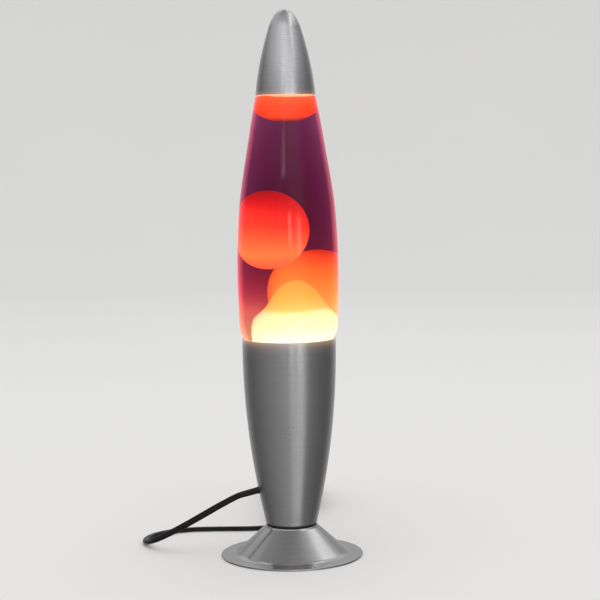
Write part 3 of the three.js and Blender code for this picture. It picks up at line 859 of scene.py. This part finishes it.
def wet_inside(obj):
    """Marks the inside wall that the liquid touches."""
    wet = obj.data.attributes.new(WET, "FLOAT", "POINT")
    for vertex, mark in zip(obj.data.vertices, wet.data):
        x, y, z = vertex.co / MM
        high = BOTTOM - 0.5 < z < FULL
        limit = wall_radius(z) if z < 352 else float(np.interp(z, [352, FULL], [21.6, 15.6]))
        mark.value = 1.0 if high and math.hypot(x, y) < limit + 0.3 else 0.0


bottle = lathe("bottle_blown", bottle_profile(), sharp=60)
wet_inside(bottle)
piece(bottle, "bottle", "bottle_glass", glass, "glass_bottle")

INTO_GLASS = 0.06  # the liquid reaches this far into the glass, so no film of air shows
liquid_top = [(21.0, 353), (18.3, 360.2), (15.4, FULL), (0, FULL)]
liquid_profile = [(0, BOTTOM - INTO_GLASS), *inside_curve(-INTO_GLASS), *liquid_top]
liquid_body = lathe("liquid_body", liquid_profile, sharp=60)
piece(liquid_body, "bottle", "liquid", liquid, "liquid_fill")


# ---------------- wax

FILM = 0.25  # liquid between the wax and the glass, in mm


def blob(name, centre, radii, lumps=()):
    """A rounded mass pressed against the glass where it would reach past it."""
    bm = bmesh.new()
    bmesh.ops.create_icosphere(bm, subdivisions=6, radius=1)
    for vertex in bm.verts:
        n = vertex.co.normalized()
        swell = 1.0
        for direction, amount, width in lumps:
            cosine = n.dot(Vector(direction).normalized())
            swell += amount * math.exp((cosine - 1) / width)
        p = [centre[k] + radii[k] * n[k] * swell for k in range(3)]
        vertex.co = Vector(press(p)) * MM
    obj = from_bmesh(name, bm)
    tidy_mesh(obj, 80)
    return obj


def press(p):
    """The point itself, or the nearest one inside the glass and above the bottle's floor."""
    x, y, z = p
    z = max(z, BOTTOM + FILM)
    limit = wall_radius(z) - FILM
    r = math.hypot(x, y)
    if r > limit:
        x, y = x * limit / r, y * limit / r
    return x, y, z


def turned_wax(name, points, shift=(0, 0)):
    """A turned mass moved aside by shift, and pressed against the glass like a blob."""
    obj = lathe(name, [*curve(points, 8), (0, points[-1][1])], 160, 80)
    for vertex in obj.data.vertices:
        x, y, z = vertex.co / MM
        vertex.co = Vector(press((x + shift[0], y + shift[1], z))) * MM
    return obj


POOL = [
    (0, 216.0), (4, 215.4), (9, 212.4), (13.5, 207.6), (17, 201.4), (20, 195.4), (24.5, 189.6),
    (27.6, 185.8), (29, 180.5), (29.2, 173.0), (28.6, 163.5), (27.0, 158.0), (24.0, 156.3),
]
DOME = [(0, 334), (8, 335.1), (15.5, 339.4), (20, 344.4), (22.6, 349.4), (25, 356), (26, 364)]

pool = turned_wax("wax_pool_mass", POOL, (6.6, -7))
piece(pool, "bottle", "wax_low", wax_low, "wax_pool")
rising = blob("wax_rising_mass", (15, 8, 202.6), (25.5, 22, 34.5), [((-1, -0.4, 0.55), 0.09, 0.12)])
piece(rising, "bottle", "wax_mid", wax_rise, "wax_rising")
floating = blob("wax_ball_mass", (-11.9, -6, 253.0), (25, 23, 29.3))
piece(floating, "bottle", "wax_mid", wax_float, "wax_ball")
dome = turned_wax("wax_top_mass", DOME)
piece(dome, "bottle", "wax_high", wax_dome, "wax_top")


def coil_ring():
    """A close spring of wire bent into a ring."""
    turns, wire, coil_r, ring_r = 92, 0.32, 1.15, 29.3
    z = 157.9
    route = []
    count = turns * 12
    for i in range(count + 1):
        a = 2 * math.pi * i / count
        b = turns * a
        r = ring_r + coil_r * math.cos(b)
        route.append((r * math.cos(a), r * math.sin(a), z + coil_r * math.sin(b)))
    section = [(wire * math.cos(k * math.pi / 3), wire * math.sin(k * math.pi / 3)) for k in range(6)]
    route = np.array(route)
    tangent = np.roll(route, -1, axis=0) - np.roll(route, 1, axis=0)
    tangent[0] = tangent[-1] = route[1] - route[-2]
    tangent /= np.linalg.norm(tangent, axis=1)[:, None]
    rings = []
    for i, (p, t) in enumerate(zip(route[:-1], tangent)):
        a = 2 * math.pi * i / count
        middle = np.array([ring_r * math.cos(a), ring_r * math.sin(a), z])
        out = p - middle
        out -= t * (out @ t)
        out /= np.linalg.norm(out)
        across = np.cross(t, out)
        rings.append([(p + u * out + v * across) * MM for u, v in section])
    rings.append(rings[0])
    return sections("heating_coil_wire", rings, 80, cap=False)


coil = coil_ring()
piece(coil, "bottle", "coil_steel", coil_steel, "heating_coil")


# ---------------- cord pieces


# Distance from the cup's outside, and half the width and thickness there.
SLEEVE = [
    (-6.8, 5.2, 5.2), (-6.6, 5.4, 5.4), (-4.8, 5.4, 5.4), (-4.5, 5.1, 5.1), (-4.2, 3.3, 2.5),
    (0.3, 3.2, 2.35), (0.9, 2.98, 2.02), (1.5, 2.88, 1.9), (6.0, 2.82, 1.84),
    (14.2, 2.72, 1.75), (14.9, 2.68, 1.7), (15.0, 2.62, 1.66),
]


def oblong(half_width, half_height, count=40):
    """A superellipse between an oval and a rounded rectangle."""
    power = 2 / 2.6
    out = []
    for i in range(count):
        a = 2 * math.pi * i / count
        c, s = math.cos(a), math.sin(a)
        u = half_width * math.copysign(abs(c) ** power, c)
        out.append((u, half_height * math.copysign(abs(s) ** power, s)))
    return out


def make_sleeve():
    wide, thin = across_cord(EXIT_DIR, EXIT_TURN)
    rings = []
    for along, half_width, half_height in SLEEVE:
        middle = EXIT + along * EXIT_DIR
        outline = oblong(half_width, half_height)
        rings.append([(middle + u * wide + v * thin) * MM for u, v in outline])
    return sections("cord_sleeve_moulded", rings, 50)


sleeve = make_sleeve()
piece(sleeve, "base", "sleeve", black_rubber, "cord_sleeve")


# ---------------- switch


def rounded_outline(width, length, radius, steps=8):
    """A closed rounded rectangle round the origin, in mm."""
    x, y = width / 2, length / 2
    corners = [(x, -y), (x, y), (-x, y), (-x, -y)]
    loop = [(0, -y), *[(u, v, radius) for u, v in corners], (0, -y)]
    return fillet(loop, steps)[:-1]


def stack(name, layers, place, sharp=40.0):
    """A solid through rounded rectangles, each given as (z, width, length, corner radius), in mm."""
    rings = []
    for z, width, length, radius in layers:
        outline = rounded_outline(width, length, radius)
        rings.append([(np.array([x, y, z]) + place) * MM for x, y in outline])
    return sections(name, rings, sharp)


def block(size, centre):
    """A box that only serves to cut with, in mm."""
    bm = bmesh.new()
    bmesh.ops.create_cube(bm, size=1)
    for vertex in bm.verts:
        vertex.co = Vector([(vertex.co[k] * size[k] + centre[k]) * MM for k in range(3)])
    return from_bmesh("cutter", bm)


def turned_cutter(profile, x, y, z, down_y=False):
    """A turned piece that only serves to cut with, pointing up, or along -Y."""
    obj = lathe("cutter", profile, 24)
    if down_y:
        obj.data.transform(Matrix.Rotation(math.radians(90), 4, "X"))
    return moved(obj, x, y, z)


def moved(obj, x, y, z):
    obj.data.transform(Matrix.Translation((x * MM, y * MM, z * MM)))
    return obj


SWITCH_AT = np.array([SWITCH_X, sum(SWITCH_Y) / 2, 0.0])
SWITCH_W, SWITCH_L, SWITCH_SPLIT, SWITCH_TOP = 21.0, 52.0, 7.2, 15.0
PIVOT_Z = 13.2
SWITCH_SCREW_Y = 19.5  # from the middle to each screw
SWITCH_ROUND_Z = 11.6  # where the cover starts to curve in


def make_switch_base():
    w, length = SWITCH_W, SWITCH_L
    layers = [
        (0.0, w - 2.4, length - 2.4, 4),
        (0.35, w - 0.9, length - 0.9, 4.6),
        (1.1, w, length, 5),
        (6.7, w, length, 5),
        (SWITCH_SPLIT, w - 0.8, length - 0.8, 4.6),
    ]
    obj = stack("switch_base_moulded", layers, SWITCH_AT)
    x, y, _ = SWITCH_AT
    sunk = [(0, -1), (2.9, -1), (2.9, 2), (1.5, 2), (1.5, 12), (0, 12)]
    holes = [turned_cutter(sunk, x, y + side * SWITCH_SCREW_Y, 0) for side in (-1, 1)]
    drill(obj, block((15, 28, 6), (x, y, 4.8)), *holes)
    return obj


def make_switch_cover():
    w, length = SWITCH_W, SWITCH_L
    low = SWITCH_SPLIT + 0.3
    layers = [(low, w - 0.8, length - 0.8, 4.6), (low + 0.4, w, length, 5)]
    layers.append((SWITCH_ROUND_Z, w - 0.2, length - 0.2, 5))
    for t in np.linspace(0, 1, 7)[1:]:
        a = math.pi / 2 * t
        inset = 0.2 + 5.2 * (1 - math.cos(a)) / 2
        z = SWITCH_ROUND_Z + (SWITCH_TOP - SWITCH_ROUND_Z) * math.sin(a)
        layers.append((z, w - 2 * inset, length - 2 * inset, 5))
    obj = stack("switch_cover_moulded", layers, SWITCH_AT)
    x, y, _ = SWITCH_AT
    mouth = block((9.2, 13, 10), (x, y, 14))
    room = block((12, 16, 6.2), (x, y, low + 2.8))
    steps = [side * (11 + 2.2 * k) for side in (-1, 1) for k in range(4)]
    grips = [block((30, 0.9, 0.7), (x, y + step, SWITCH_TOP)) for step in steps]
    drill(obj, mouth, room, *grips)
    return obj


def make_rocker():
    """The outline runs along -Y and up from the pivot; the rocker rests tilted to its on side."""
    top = curve([(5.6, 2.0), (3.2, 1.45), (0, 0.9), (-3.2, 1.45), (-5.6, 2.0)], 4)
    angles = np.linspace(math.pi + 0.12, 2 * math.pi - 0.12, 20)
    outline = [*top, *[(5.3 * math.cos(a), 5.3 * math.sin(a)) for a in angles]]
    tilt = math.radians(12)
    rings = []
    for x, grow in [(-4.2, 0.93), (-3.9, 0.985), (-3.5, 1), (3.5, 1), (3.9, 0.985), (4.2, 0.93)]:
        ring_points = []
        for u, v in outline:
            y, z = -u * grow, v * grow
            y, z = y * math.cos(tilt) - z * math.sin(tilt), y * math.sin(tilt) + z * math.cos(tilt)
            ring_points.append((SWITCH_AT + (x, y, z + PIVOT_Z)) * MM)
        rings.append(ring_points)
    return sections("switch_rocker_moulded", rings, 32)


switch_base = piece(make_switch_base(), "base", "switch_plastic", black_plastic, "switch_base")
switch_cover = piece(make_switch_cover(), "base", "switch_plastic", black_plastic, "switch_cover")
piece(make_rocker(), "rocker", "rocker_plastic", gloss_plastic, "switch_rocker")


# ---------------- plug and tie

PLUG = {"front": 165.0, "back": 197.0, "half_width": 17.5, "half_height": 6.85}
PIN = {"spacing": 18.6, "length": 19.0}


def plug_radius(angle):
    """Distance from the middle of the plug's six-sided section to its softly rounded outline."""
    w, h = PLUG["half_width"], PLUG["half_height"]
    slant = math.hypot(h, 5)
    sides = [(0, 1, h), (h / slant, 5 / slant, h * w / slant)]
    c, s = abs(math.cos(angle)), abs(math.sin(angle))
    total = sum(((c * nx + s * nz) / d) ** 18 for nx, nz, d in sides)
    return total ** (-1 / 18)


def plug_stations():
    """Along the plug: y, the share of full width, the share of full height, and the roundness."""
    front, back = PLUG["front"], PLUG["back"]
    stations = [
        (front, 0.93, 0.88, 0),
        (front + 0.3, 0.975, 0.95, 0),
        (front + 1.1, 1, 1, 0),
        (front + 9, 1, 1, 0),
        (front + 13, 0.96, 0.985, 0),
        (front + 16, 0.91, 0.96, 0),
    ]
    for k in range(5):
        y = front + 17 + k * 2.2
        wide = 0.9 - 0.012 * k
        rib = [(0, 0, 0.95), (0.35, 0.03, 0.885), (1.1, 0.03, 0.885), (1.45, 0, 0.95)]
        for along, narrower, tall in rib:
            stations.append((y + along, wide - narrower, tall, 0))
    stations += [(back - 3, 0.83, 0.93, 0.05), (back - 1.4, 0.74, 0.86, 0.25)]
    return [*stations, (back - 0.3, 0.58, 0.8, 0.7), (back + 0.2, 0.5, 0.75, 1)]


def make_plug():
    """The body, and behind it a ribbed boot round the cord."""
    angles = np.linspace(0, 2 * math.pi, 64, endpoint=False)
    rings = []
    for y, wide, tall, roundness in plug_stations():
        ring_points = []
        for a in angles:
            r = plug_radius(a)
            hexagon = np.array([r * math.cos(a) * wide, r * math.sin(a) * tall])
            circle = np.array([math.cos(a), math.sin(a)]) * 4.6
            x, z = hexagon * (1 - roundness) + circle * roundness
            ring_points.append(np.array([PLUG_X + x, y, PLUG_Z + z]) * MM)
        rings.append(ring_points)
    for k in range(8):
        r, start = 4.4 - 0.2 * k, PLUG["back"] + 0.6 + 1.4 * k
        for along, size in [(0, r), (0.65, r), (0.75, r - 0.75), (1.3, r - 0.75)]:
            circle = [(size * math.cos(a), along, size * math.sin(a)) for a in angles]
            rings.append([(np.array([PLUG_X, start, PLUG_Z]) + p) * MM for p in circle])
    return sections("plug_body_moulded", rings, 38)


def along_pin(obj, side):
    """Turns a piece made along +Z to point out of the plug's front."""
    obj.data.transform(Matrix.Rotation(math.radians(90), 4, "X"))
    return moved(obj, PLUG_X + side * PIN["spacing"] / 2, PLUG["front"] - 0.3, PLUG_Z)


HANK_HALF = HANK["outer"] + FLAT["height"] / 2
HANK_TOP = HANK["low"] + 2 * HANK["pitch"] + FLAT["width"] / 2
TIE_Y = 210.0


def make_tie():
    """A strap round the hank, its end lapped over on top."""
    half, low, high, r = HANK_HALF + 0.7, 0.42, HANK_TOP + 0.7, 3.0
    corners = [(-half, high), (-half, low), (half, low), (half, high)]
    lap = [(14, high + 0.75), (4, high + 0.75), (-1.5, high + 0.3), (-8, high)]
    path = fillet([*lap, *[(*corner, r) for corner in corners], (-6, high)], 8)
    path = curve(path[:4], 3) + path[4:]
    section = rounded_outline(0.8, 8.0, 0.3, 3)
    rings = []
    for i, (x, z) in enumerate(path):
        a, b = np.array(path[max(0, i - 1)]), np.array(path[min(len(path) - 1, i + 1)])
        t = (b - a) / np.linalg.norm(b - a)
        rings.append([np.array([x - t[1] * u, TIE_Y + v, z + t[0] * u]) * MM for u, v in section])
    return sections("cord_tie_strap", rings, 40)


plug = piece(make_plug(), "base", "plug_plastic", black_plastic, "plug_body")
pin_end = arc((1.98, 17.4), (1.5, 18.5), (0.6, PIN["length"]), 6)
pin_profile = [(0, 0), (1.7, 0), (1.7, 10.1), (1.98, 10.3), *pin_end, (0, PIN["length"])]
for side, name in [(-1, "left"), (1, "right")]:
    pin = along_pin(lathe("plug_pin_turned_" + name, pin_profile, 32), side)
    piece(pin, "base", "nickel", nickel, "plug_pin_" + name)
    cover = along_pin(ring("plug_pin_sleeve_" + name, 1.75, 2.0, 0.35, 10.0, 0.1, 32), side)
    piece(cover, "base", "plug_plastic", gloss_plastic)
tie = piece(make_tie(), "base", "tie", black_rubber, "cord_tie")


# ---------------- lamp holder, bulb and closure


def grooved(obj, low, high, inner, shape):
    """Moves the walls beyond the inner radius in or out by shape(angle, z), between two heights."""
    for vertex in obj.data.vertices:
        x, y, z = vertex.co / MM
        r = math.hypot(x, y)
        if low < z < high and r > inner:
            grow = 1 + shape(math.atan2(y, x), z) / r
            vertex.co = Vector((x * grow, y * grow, z)) * MM
    tidy_mesh(obj, 50)
    return obj


def threaded(name, inner, outer, low, high, depth, pitch=2.82):
    """A thin sleeve with a rolled thread, as on a small screw cap."""
    count = int((high - low) / 0.35)
    heights = [low + (high - low) * k / count for k in range(count + 1)]
    profile = [(outer, z) for z in heights] + [(inner, z) for z in heights[::-1]]
    obj = lathe(name, profile, 48, closed=True)

    def thread(angle, z):
        fade = min(1.0, (z - low) / 1.5, (high - z) / 1.5)
        return -depth * fade * (0.5 - 0.5 * math.cos(2 * math.pi * z / pitch - angle))

    return grooved(obj, low, high, 0, thread)


screw_shell = threaded("bulb_screw_shell_rolled", 6.35, 6.95, 59.3, 79.5, 0.5)
piece(screw_shell, "bulb", "nickel", nickel, "bulb_screw_shell")
holder_thread = threaded("lampholder_thread_rolled", 7.6, 8.15, 54.3, 77.5, 0.3)
piece(holder_thread, "base", "brass", brass, "lampholder_thread")


def bulb_material():
    """A silvered reflector with a frosted, lit front."""
    material, g, place = new_material("reflector_bulb")
    height = g.parts(place)["Z"]
    front = g.remap(g.math("MULTIPLY_ADD", g.noise(place, 300.0), 0.0006, height), 0.1132, 0.1142)
    frost = g.noise(place, 2500.0, 2.0)
    inputs = {
        "Base Color": g.shade(front, (0.82, 0.81, 0.8), (0.92, 0.86, 0.76)),
        "Metallic": g.minus(1.0, front),
        "Roughness": g.plus(g.remap(frost, 0.3, 0.7, 0.1, 0.2), g.times(front, 0.3)),
        "Emission Color": (1.0, 0.72, 0.4),
        "Emission Strength": g.times(front, 2.2),
        "Normal": g.bump(frost, 0.3, 0.00002),
    }
    surface(g, inputs)
    return material


def bulb_profile():
    neck = [(6, 80.5), (8.4, 86), (12.5, 94), (17.2, 103.5)]
    face = [(19.5, 111), (19, 117), (15, 122.6), (8, 125.4), (0, 126)]
    neck_in = [(5.1, 80.8), (7.6, 86.4), (11.7, 94.4), (16.3, 103.9)]
    face_in = [(18.5, 111.2), (18, 116.6), (14.4, 121.8), (8, 124.4), (0, 125.1)]
    outside = curve([*neck, *face], 6)
    inside = curve([*neck_in, *face_in], 6)
    return [(5.1, 61), (6, 61.4), *outside, *inside[::-1], (5.1, 61)]


envelope = lathe("bulb_envelope_blown", bulb_profile(), 96, 60)
piece(envelope, "bulb", "bulb_glass", bulb_material(), "bulb_envelope")


def holder_profile():
    body = [(12.5, 44.4, 0.6), (12.5, 57.6, 1), (13.8, 59.6, 1), (13.8, 61, 0.3)]
    ribs = []
    for k in range(4):
        z = 62 + 2.6 * k
        ribs += [(13.2, z, 0.2), (13.2, z + 1.1, 0.2), (13.8, z + 1.3, 0.2), (13.8, z + 2.4, 0.2)]
    top = [(13.8, 76, 1), (12.8, 80, 0.5), (8.4, 80, 0.3), (8.4, 53, 0.3), (0, 53)]
    return fillet([(0, 44.4), *body, *ribs, *top], 4)


holder = lathe("lampholder_body_moulded", holder_profile(), 96, 35)
screw_hole = [(0, -1), (1.8, -1), (1.8, 7), (0, 7)]
screw_holes = [turned_cutter(screw_hole, side * 8, 0, 43.4) for side in (-1, 1)]
wire_bore = [(0, -4), (1.9, -4), (1.9, 4), (0, 4)]
wire_bores = [turned_cutter(wire_bore, 0, side * 13, 50, down_y=True) for side in (-1, 1)]
drill(holder, *screw_holes, *wire_bores)
piece(holder, "base", "holder_plastic", holder_plastic, "lampholder_body")


def closure_shape(angle, z):
    """Flutes pressed into the skirt."""
    deep = min(1.0, (381.5 - z) / 3)
    return -0.22 * deep * (0.5 - 0.5 * math.cos(24 * angle))


def closure_profile():
    """A thin pressed lid. Its skirt has close rings of points, so that it can be fluted."""
    side = [(14.3, 375), (14.7, 374.9), (15.2, 375.3), *[(15.2, 375.8 + 0.6 * k) for k in range(16)]]
    top = [(15.1, 386, 1.2), (14.2, 386.8, 0.8), (11, 386.8, 0.4), (10.4, 386.4, 0.4), (0, 386.4)]
    inside = [(0, 385.9), (14.3, 385.9, 0.3), *[(14.3, 384.8 - 0.6 * k) for k in range(17)]]
    return [*side, *fillet([side[-1], *top], 4)[1:], *fillet(inside, 3)]


closure = lathe("bottle_closure_pressed", closure_profile(), BIG, 50)
grooved(closure, 374, 381.5, 0, closure_shape)
piece(closure, "bottle", "closure_metal", closure_metal, "bottle_closure")


# ---------------- CAD nodes that keep their shape

CAD_LOOKS = [
    (zinc, ["foot_bolt_washer", "foot_bolt", "lampholder_bracket", "bracket_washer", "bracket_nut"]),
    (zinc, ["lampholder_screw_left", "lampholder_screw_right", "switch_screw_1", "switch_screw_2"]),
    (brass, ["terminal_screw_live", "terminal_screw_neutral", "lampholder_contact"]),
    (brass, ["switch_contact_in", "switch_contact_out"]),
    (wire_brown, ["wire_live"]),
    (wire_blue, ["wire_neutral"]),
    (nickel, ["bulb_contact"]),
    (holder_plastic, ["bulb_insulator"]),
    (bulb_glass, ["bulb_stem"]),
    (coil_steel, ["bulb_filament"]),
    (liner_foam, ["closure_liner"]),
]

for look, names in CAD_LOOKS:
    for name in names:
        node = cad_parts[name]
        node.data.materials.clear()
        node.data.materials.append(look)

cord_nodes = ["power_cord_lead", "power_cord_link", "power_cord_hank", "power_cord_tail"]
piece(cord, "base", "cord", cord_plastic, *cord_nodes)


# ---------------- stage and light


def make_floor():
    """A round sweep of paper: flat under the lamp, then curving up to a wall all round."""
    bend = arc((2600, 0), (3448, 351), (3800, 1200), 24)
    profile = [(0, 0), (1100, 0), (2300, 0), *bend, (3800, 3600)]
    floor = lathe("floor", profile, 96, 180)
    floor.location.z = -0.0002
    material, g, place = new_material("floor_paper")
    tone = g.shade(g.noise(place, 3.0, 2.0), (0.79, 0.787, 0.784), (0.81, 0.807, 0.804))
    surface(g, {"Base Color": tone, "Roughness": 0.9})
    floor.data.materials.append(material)
    floor.visible_glossy = False
    floor.visible_diffuse = False
    floor.visible_shadow = False


def area_light(name, place, power):
    """A large square light pointed at the lamp."""
    data = bpy.data.lights.new(name, "AREA")
    data.shape = "RECTANGLE"
    data.size = data.size_y = 2.2
    data.energy = power
    light = bpy.data.objects.new(name, data)
    scene.collection.objects.link(light)
    light.location = place
    direction = Vector((0, 0, 0.1)) - Vector(place)
    light.rotation_euler = direction.to_track_quat("-Z", "Y").to_euler()
    light.visible_glossy = False


# The room as the lamp sees it: brightness by the angle from the camera's side, to the right.
ROOM = [
    (-180, 0.5), (-150, 0.4), (-128, 0.18), (-115, 0.13), (-88, 0.17), (-67, 0.23), (-47, 0.28),
    (-30, 0.33), (-12, 0.37), (0, 0.41), (5, 0.52), (18, 0.64), (38, 0.7), (45, 0.27),
    (57, 0.21), (77, 0.16), (100, 0.12), (122, 0.13), (135, 0.24), (150, 0.4), (180, 0.5),
]
# The same above the horizon, where the soft boxes hang.
ABOVE = [
    (-180, 0.62), (-120, 0.45), (-66, 0.6), (-32, 0.85), (0, 1.02), (31, 0.85), (65, 0.5),
    (108, 0.26), (140, 0.5), (180, 0.62),
]
# Overhead, from left to right.
OVERHEAD = [
    (-0.85, 0.48), (-0.67, 0.44), (-0.6, 0.1), (-0.53, 0.34), (-0.1, 0.27), (0.2, 0.36),
    (0.45, 0.6), (0.55, 0.85), (0.6, 2.2), (0.65, 0.85), (0.85, 0.62),
]

# Narrow windows: angle, half width, lowest and highest direction, brightness.
WINDOWS = [
    (-7, 2.2, 0.3, 0.4, 1.6),
    (-8, 6, 0.28, 0.34, 2.6),
    (-16, 1.2, -0.1, 0.3, 0.9),
    (6, 3.6, 0.0, 0.14, 3.4),
    (27, 5, -0.02, 0.12, 3.0),
    (14, 1.2, 0.14, 0.34, 1.0),
    (175, 5.6, 0.4, 0.86, 0.6),
    (-175, 5.6, 0.4, 0.86, 0.6),
    (155, 15, 0.4, 0.8, 0.75),
    (-155, 15, 0.4, 0.8, 0.7),
    (155, 15, 0.78, 0.86, 2.2),
    (-155, 15, 0.78, 0.86, 1.7),
]


def make_world():
    """Mirror-like rays see the room; all others see one even light."""
    world = bpy.data.worlds.new("studio")
    world.use_nodes = True
    scene.world = world
    g = Graph(world.node_tree)
    direction = g.add("TexCoord").outputs["Generated"]
    parts = g.parts(direction)
    turn = g.math("ARCTAN2", parts["X"], g.times(parts["Y"], -1.0))
    share = g.remap(turn, -math.pi, math.pi)
    level = g.ramp(share, [((a + 180) / 360, (v, v, v)) for a, v in ROOM], "B_SPLINE")
    upper = g.ramp(share, [((a + 180) / 360, (v, v, v)) for a, v in ABOVE], "B_SPLINE")
    across = g.remap(parts["X"], -1.0, 1.0)
    top = g.ramp(across, [((x + 1) / 2, (v, v, v)) for x, v in OVERHEAD])
    side = g.shade(g.remap(parts["Z"], 0.28, 0.42), level, upper)
    raised = g.plus(parts["Z"], g.remap(parts["X"], 0.1, 0.4, 0.0, 0.24))
    room = g.shade(g.remap(raised, 0.72, 0.86), side, top)
    for angle, half, low, high, strength in WINDOWS:
        off = g.math("ABSOLUTE", g.minus(turn, math.radians(angle)))
        wide = g.remap(off, math.radians(half + 0.6), math.radians(half - 0.6))
        rises = g.remap(parts["Z"], low, low + 0.03)
        tall = g.math("MINIMUM", rises, g.remap(parts["Z"], high, high - 0.03))
        room = g.shade(g.times(wide, tall), room, (strength, strength, strength * 1.04))
    lit = g.add("Background", {"Color": room, "Strength": 1.0}).outputs[0]
    soft = g.add("Background", {"Color": (0.8, 0.798, 0.795), "Strength": 1.0}).outputs[0]
    mirrored = g.add("LightPath").outputs["Is Glossy Ray"]
    mix = g.add("MixShader", {0: mirrored, 1: soft, 2: lit})
    g.add("OutputWorld", {"Surface": mix.outputs[0]})


make_floor()
make_world()
area_light("key", (-0.1, -1.0, 2.3), 11)
area_light("fill", (0.1, 1.2, 2.2), 7)

scene.view_settings.view_transform = "Standard"
scene.view_settings.look = "None"
scene.cycles.max_bounces = 16
scene.cycles.transmission_bounces = 16
scene.cycles.transparent_max_bounces = 12
scene.cycles.volume_bounces = 0
scene.cycles.sample_clamp_indirect = 5.0
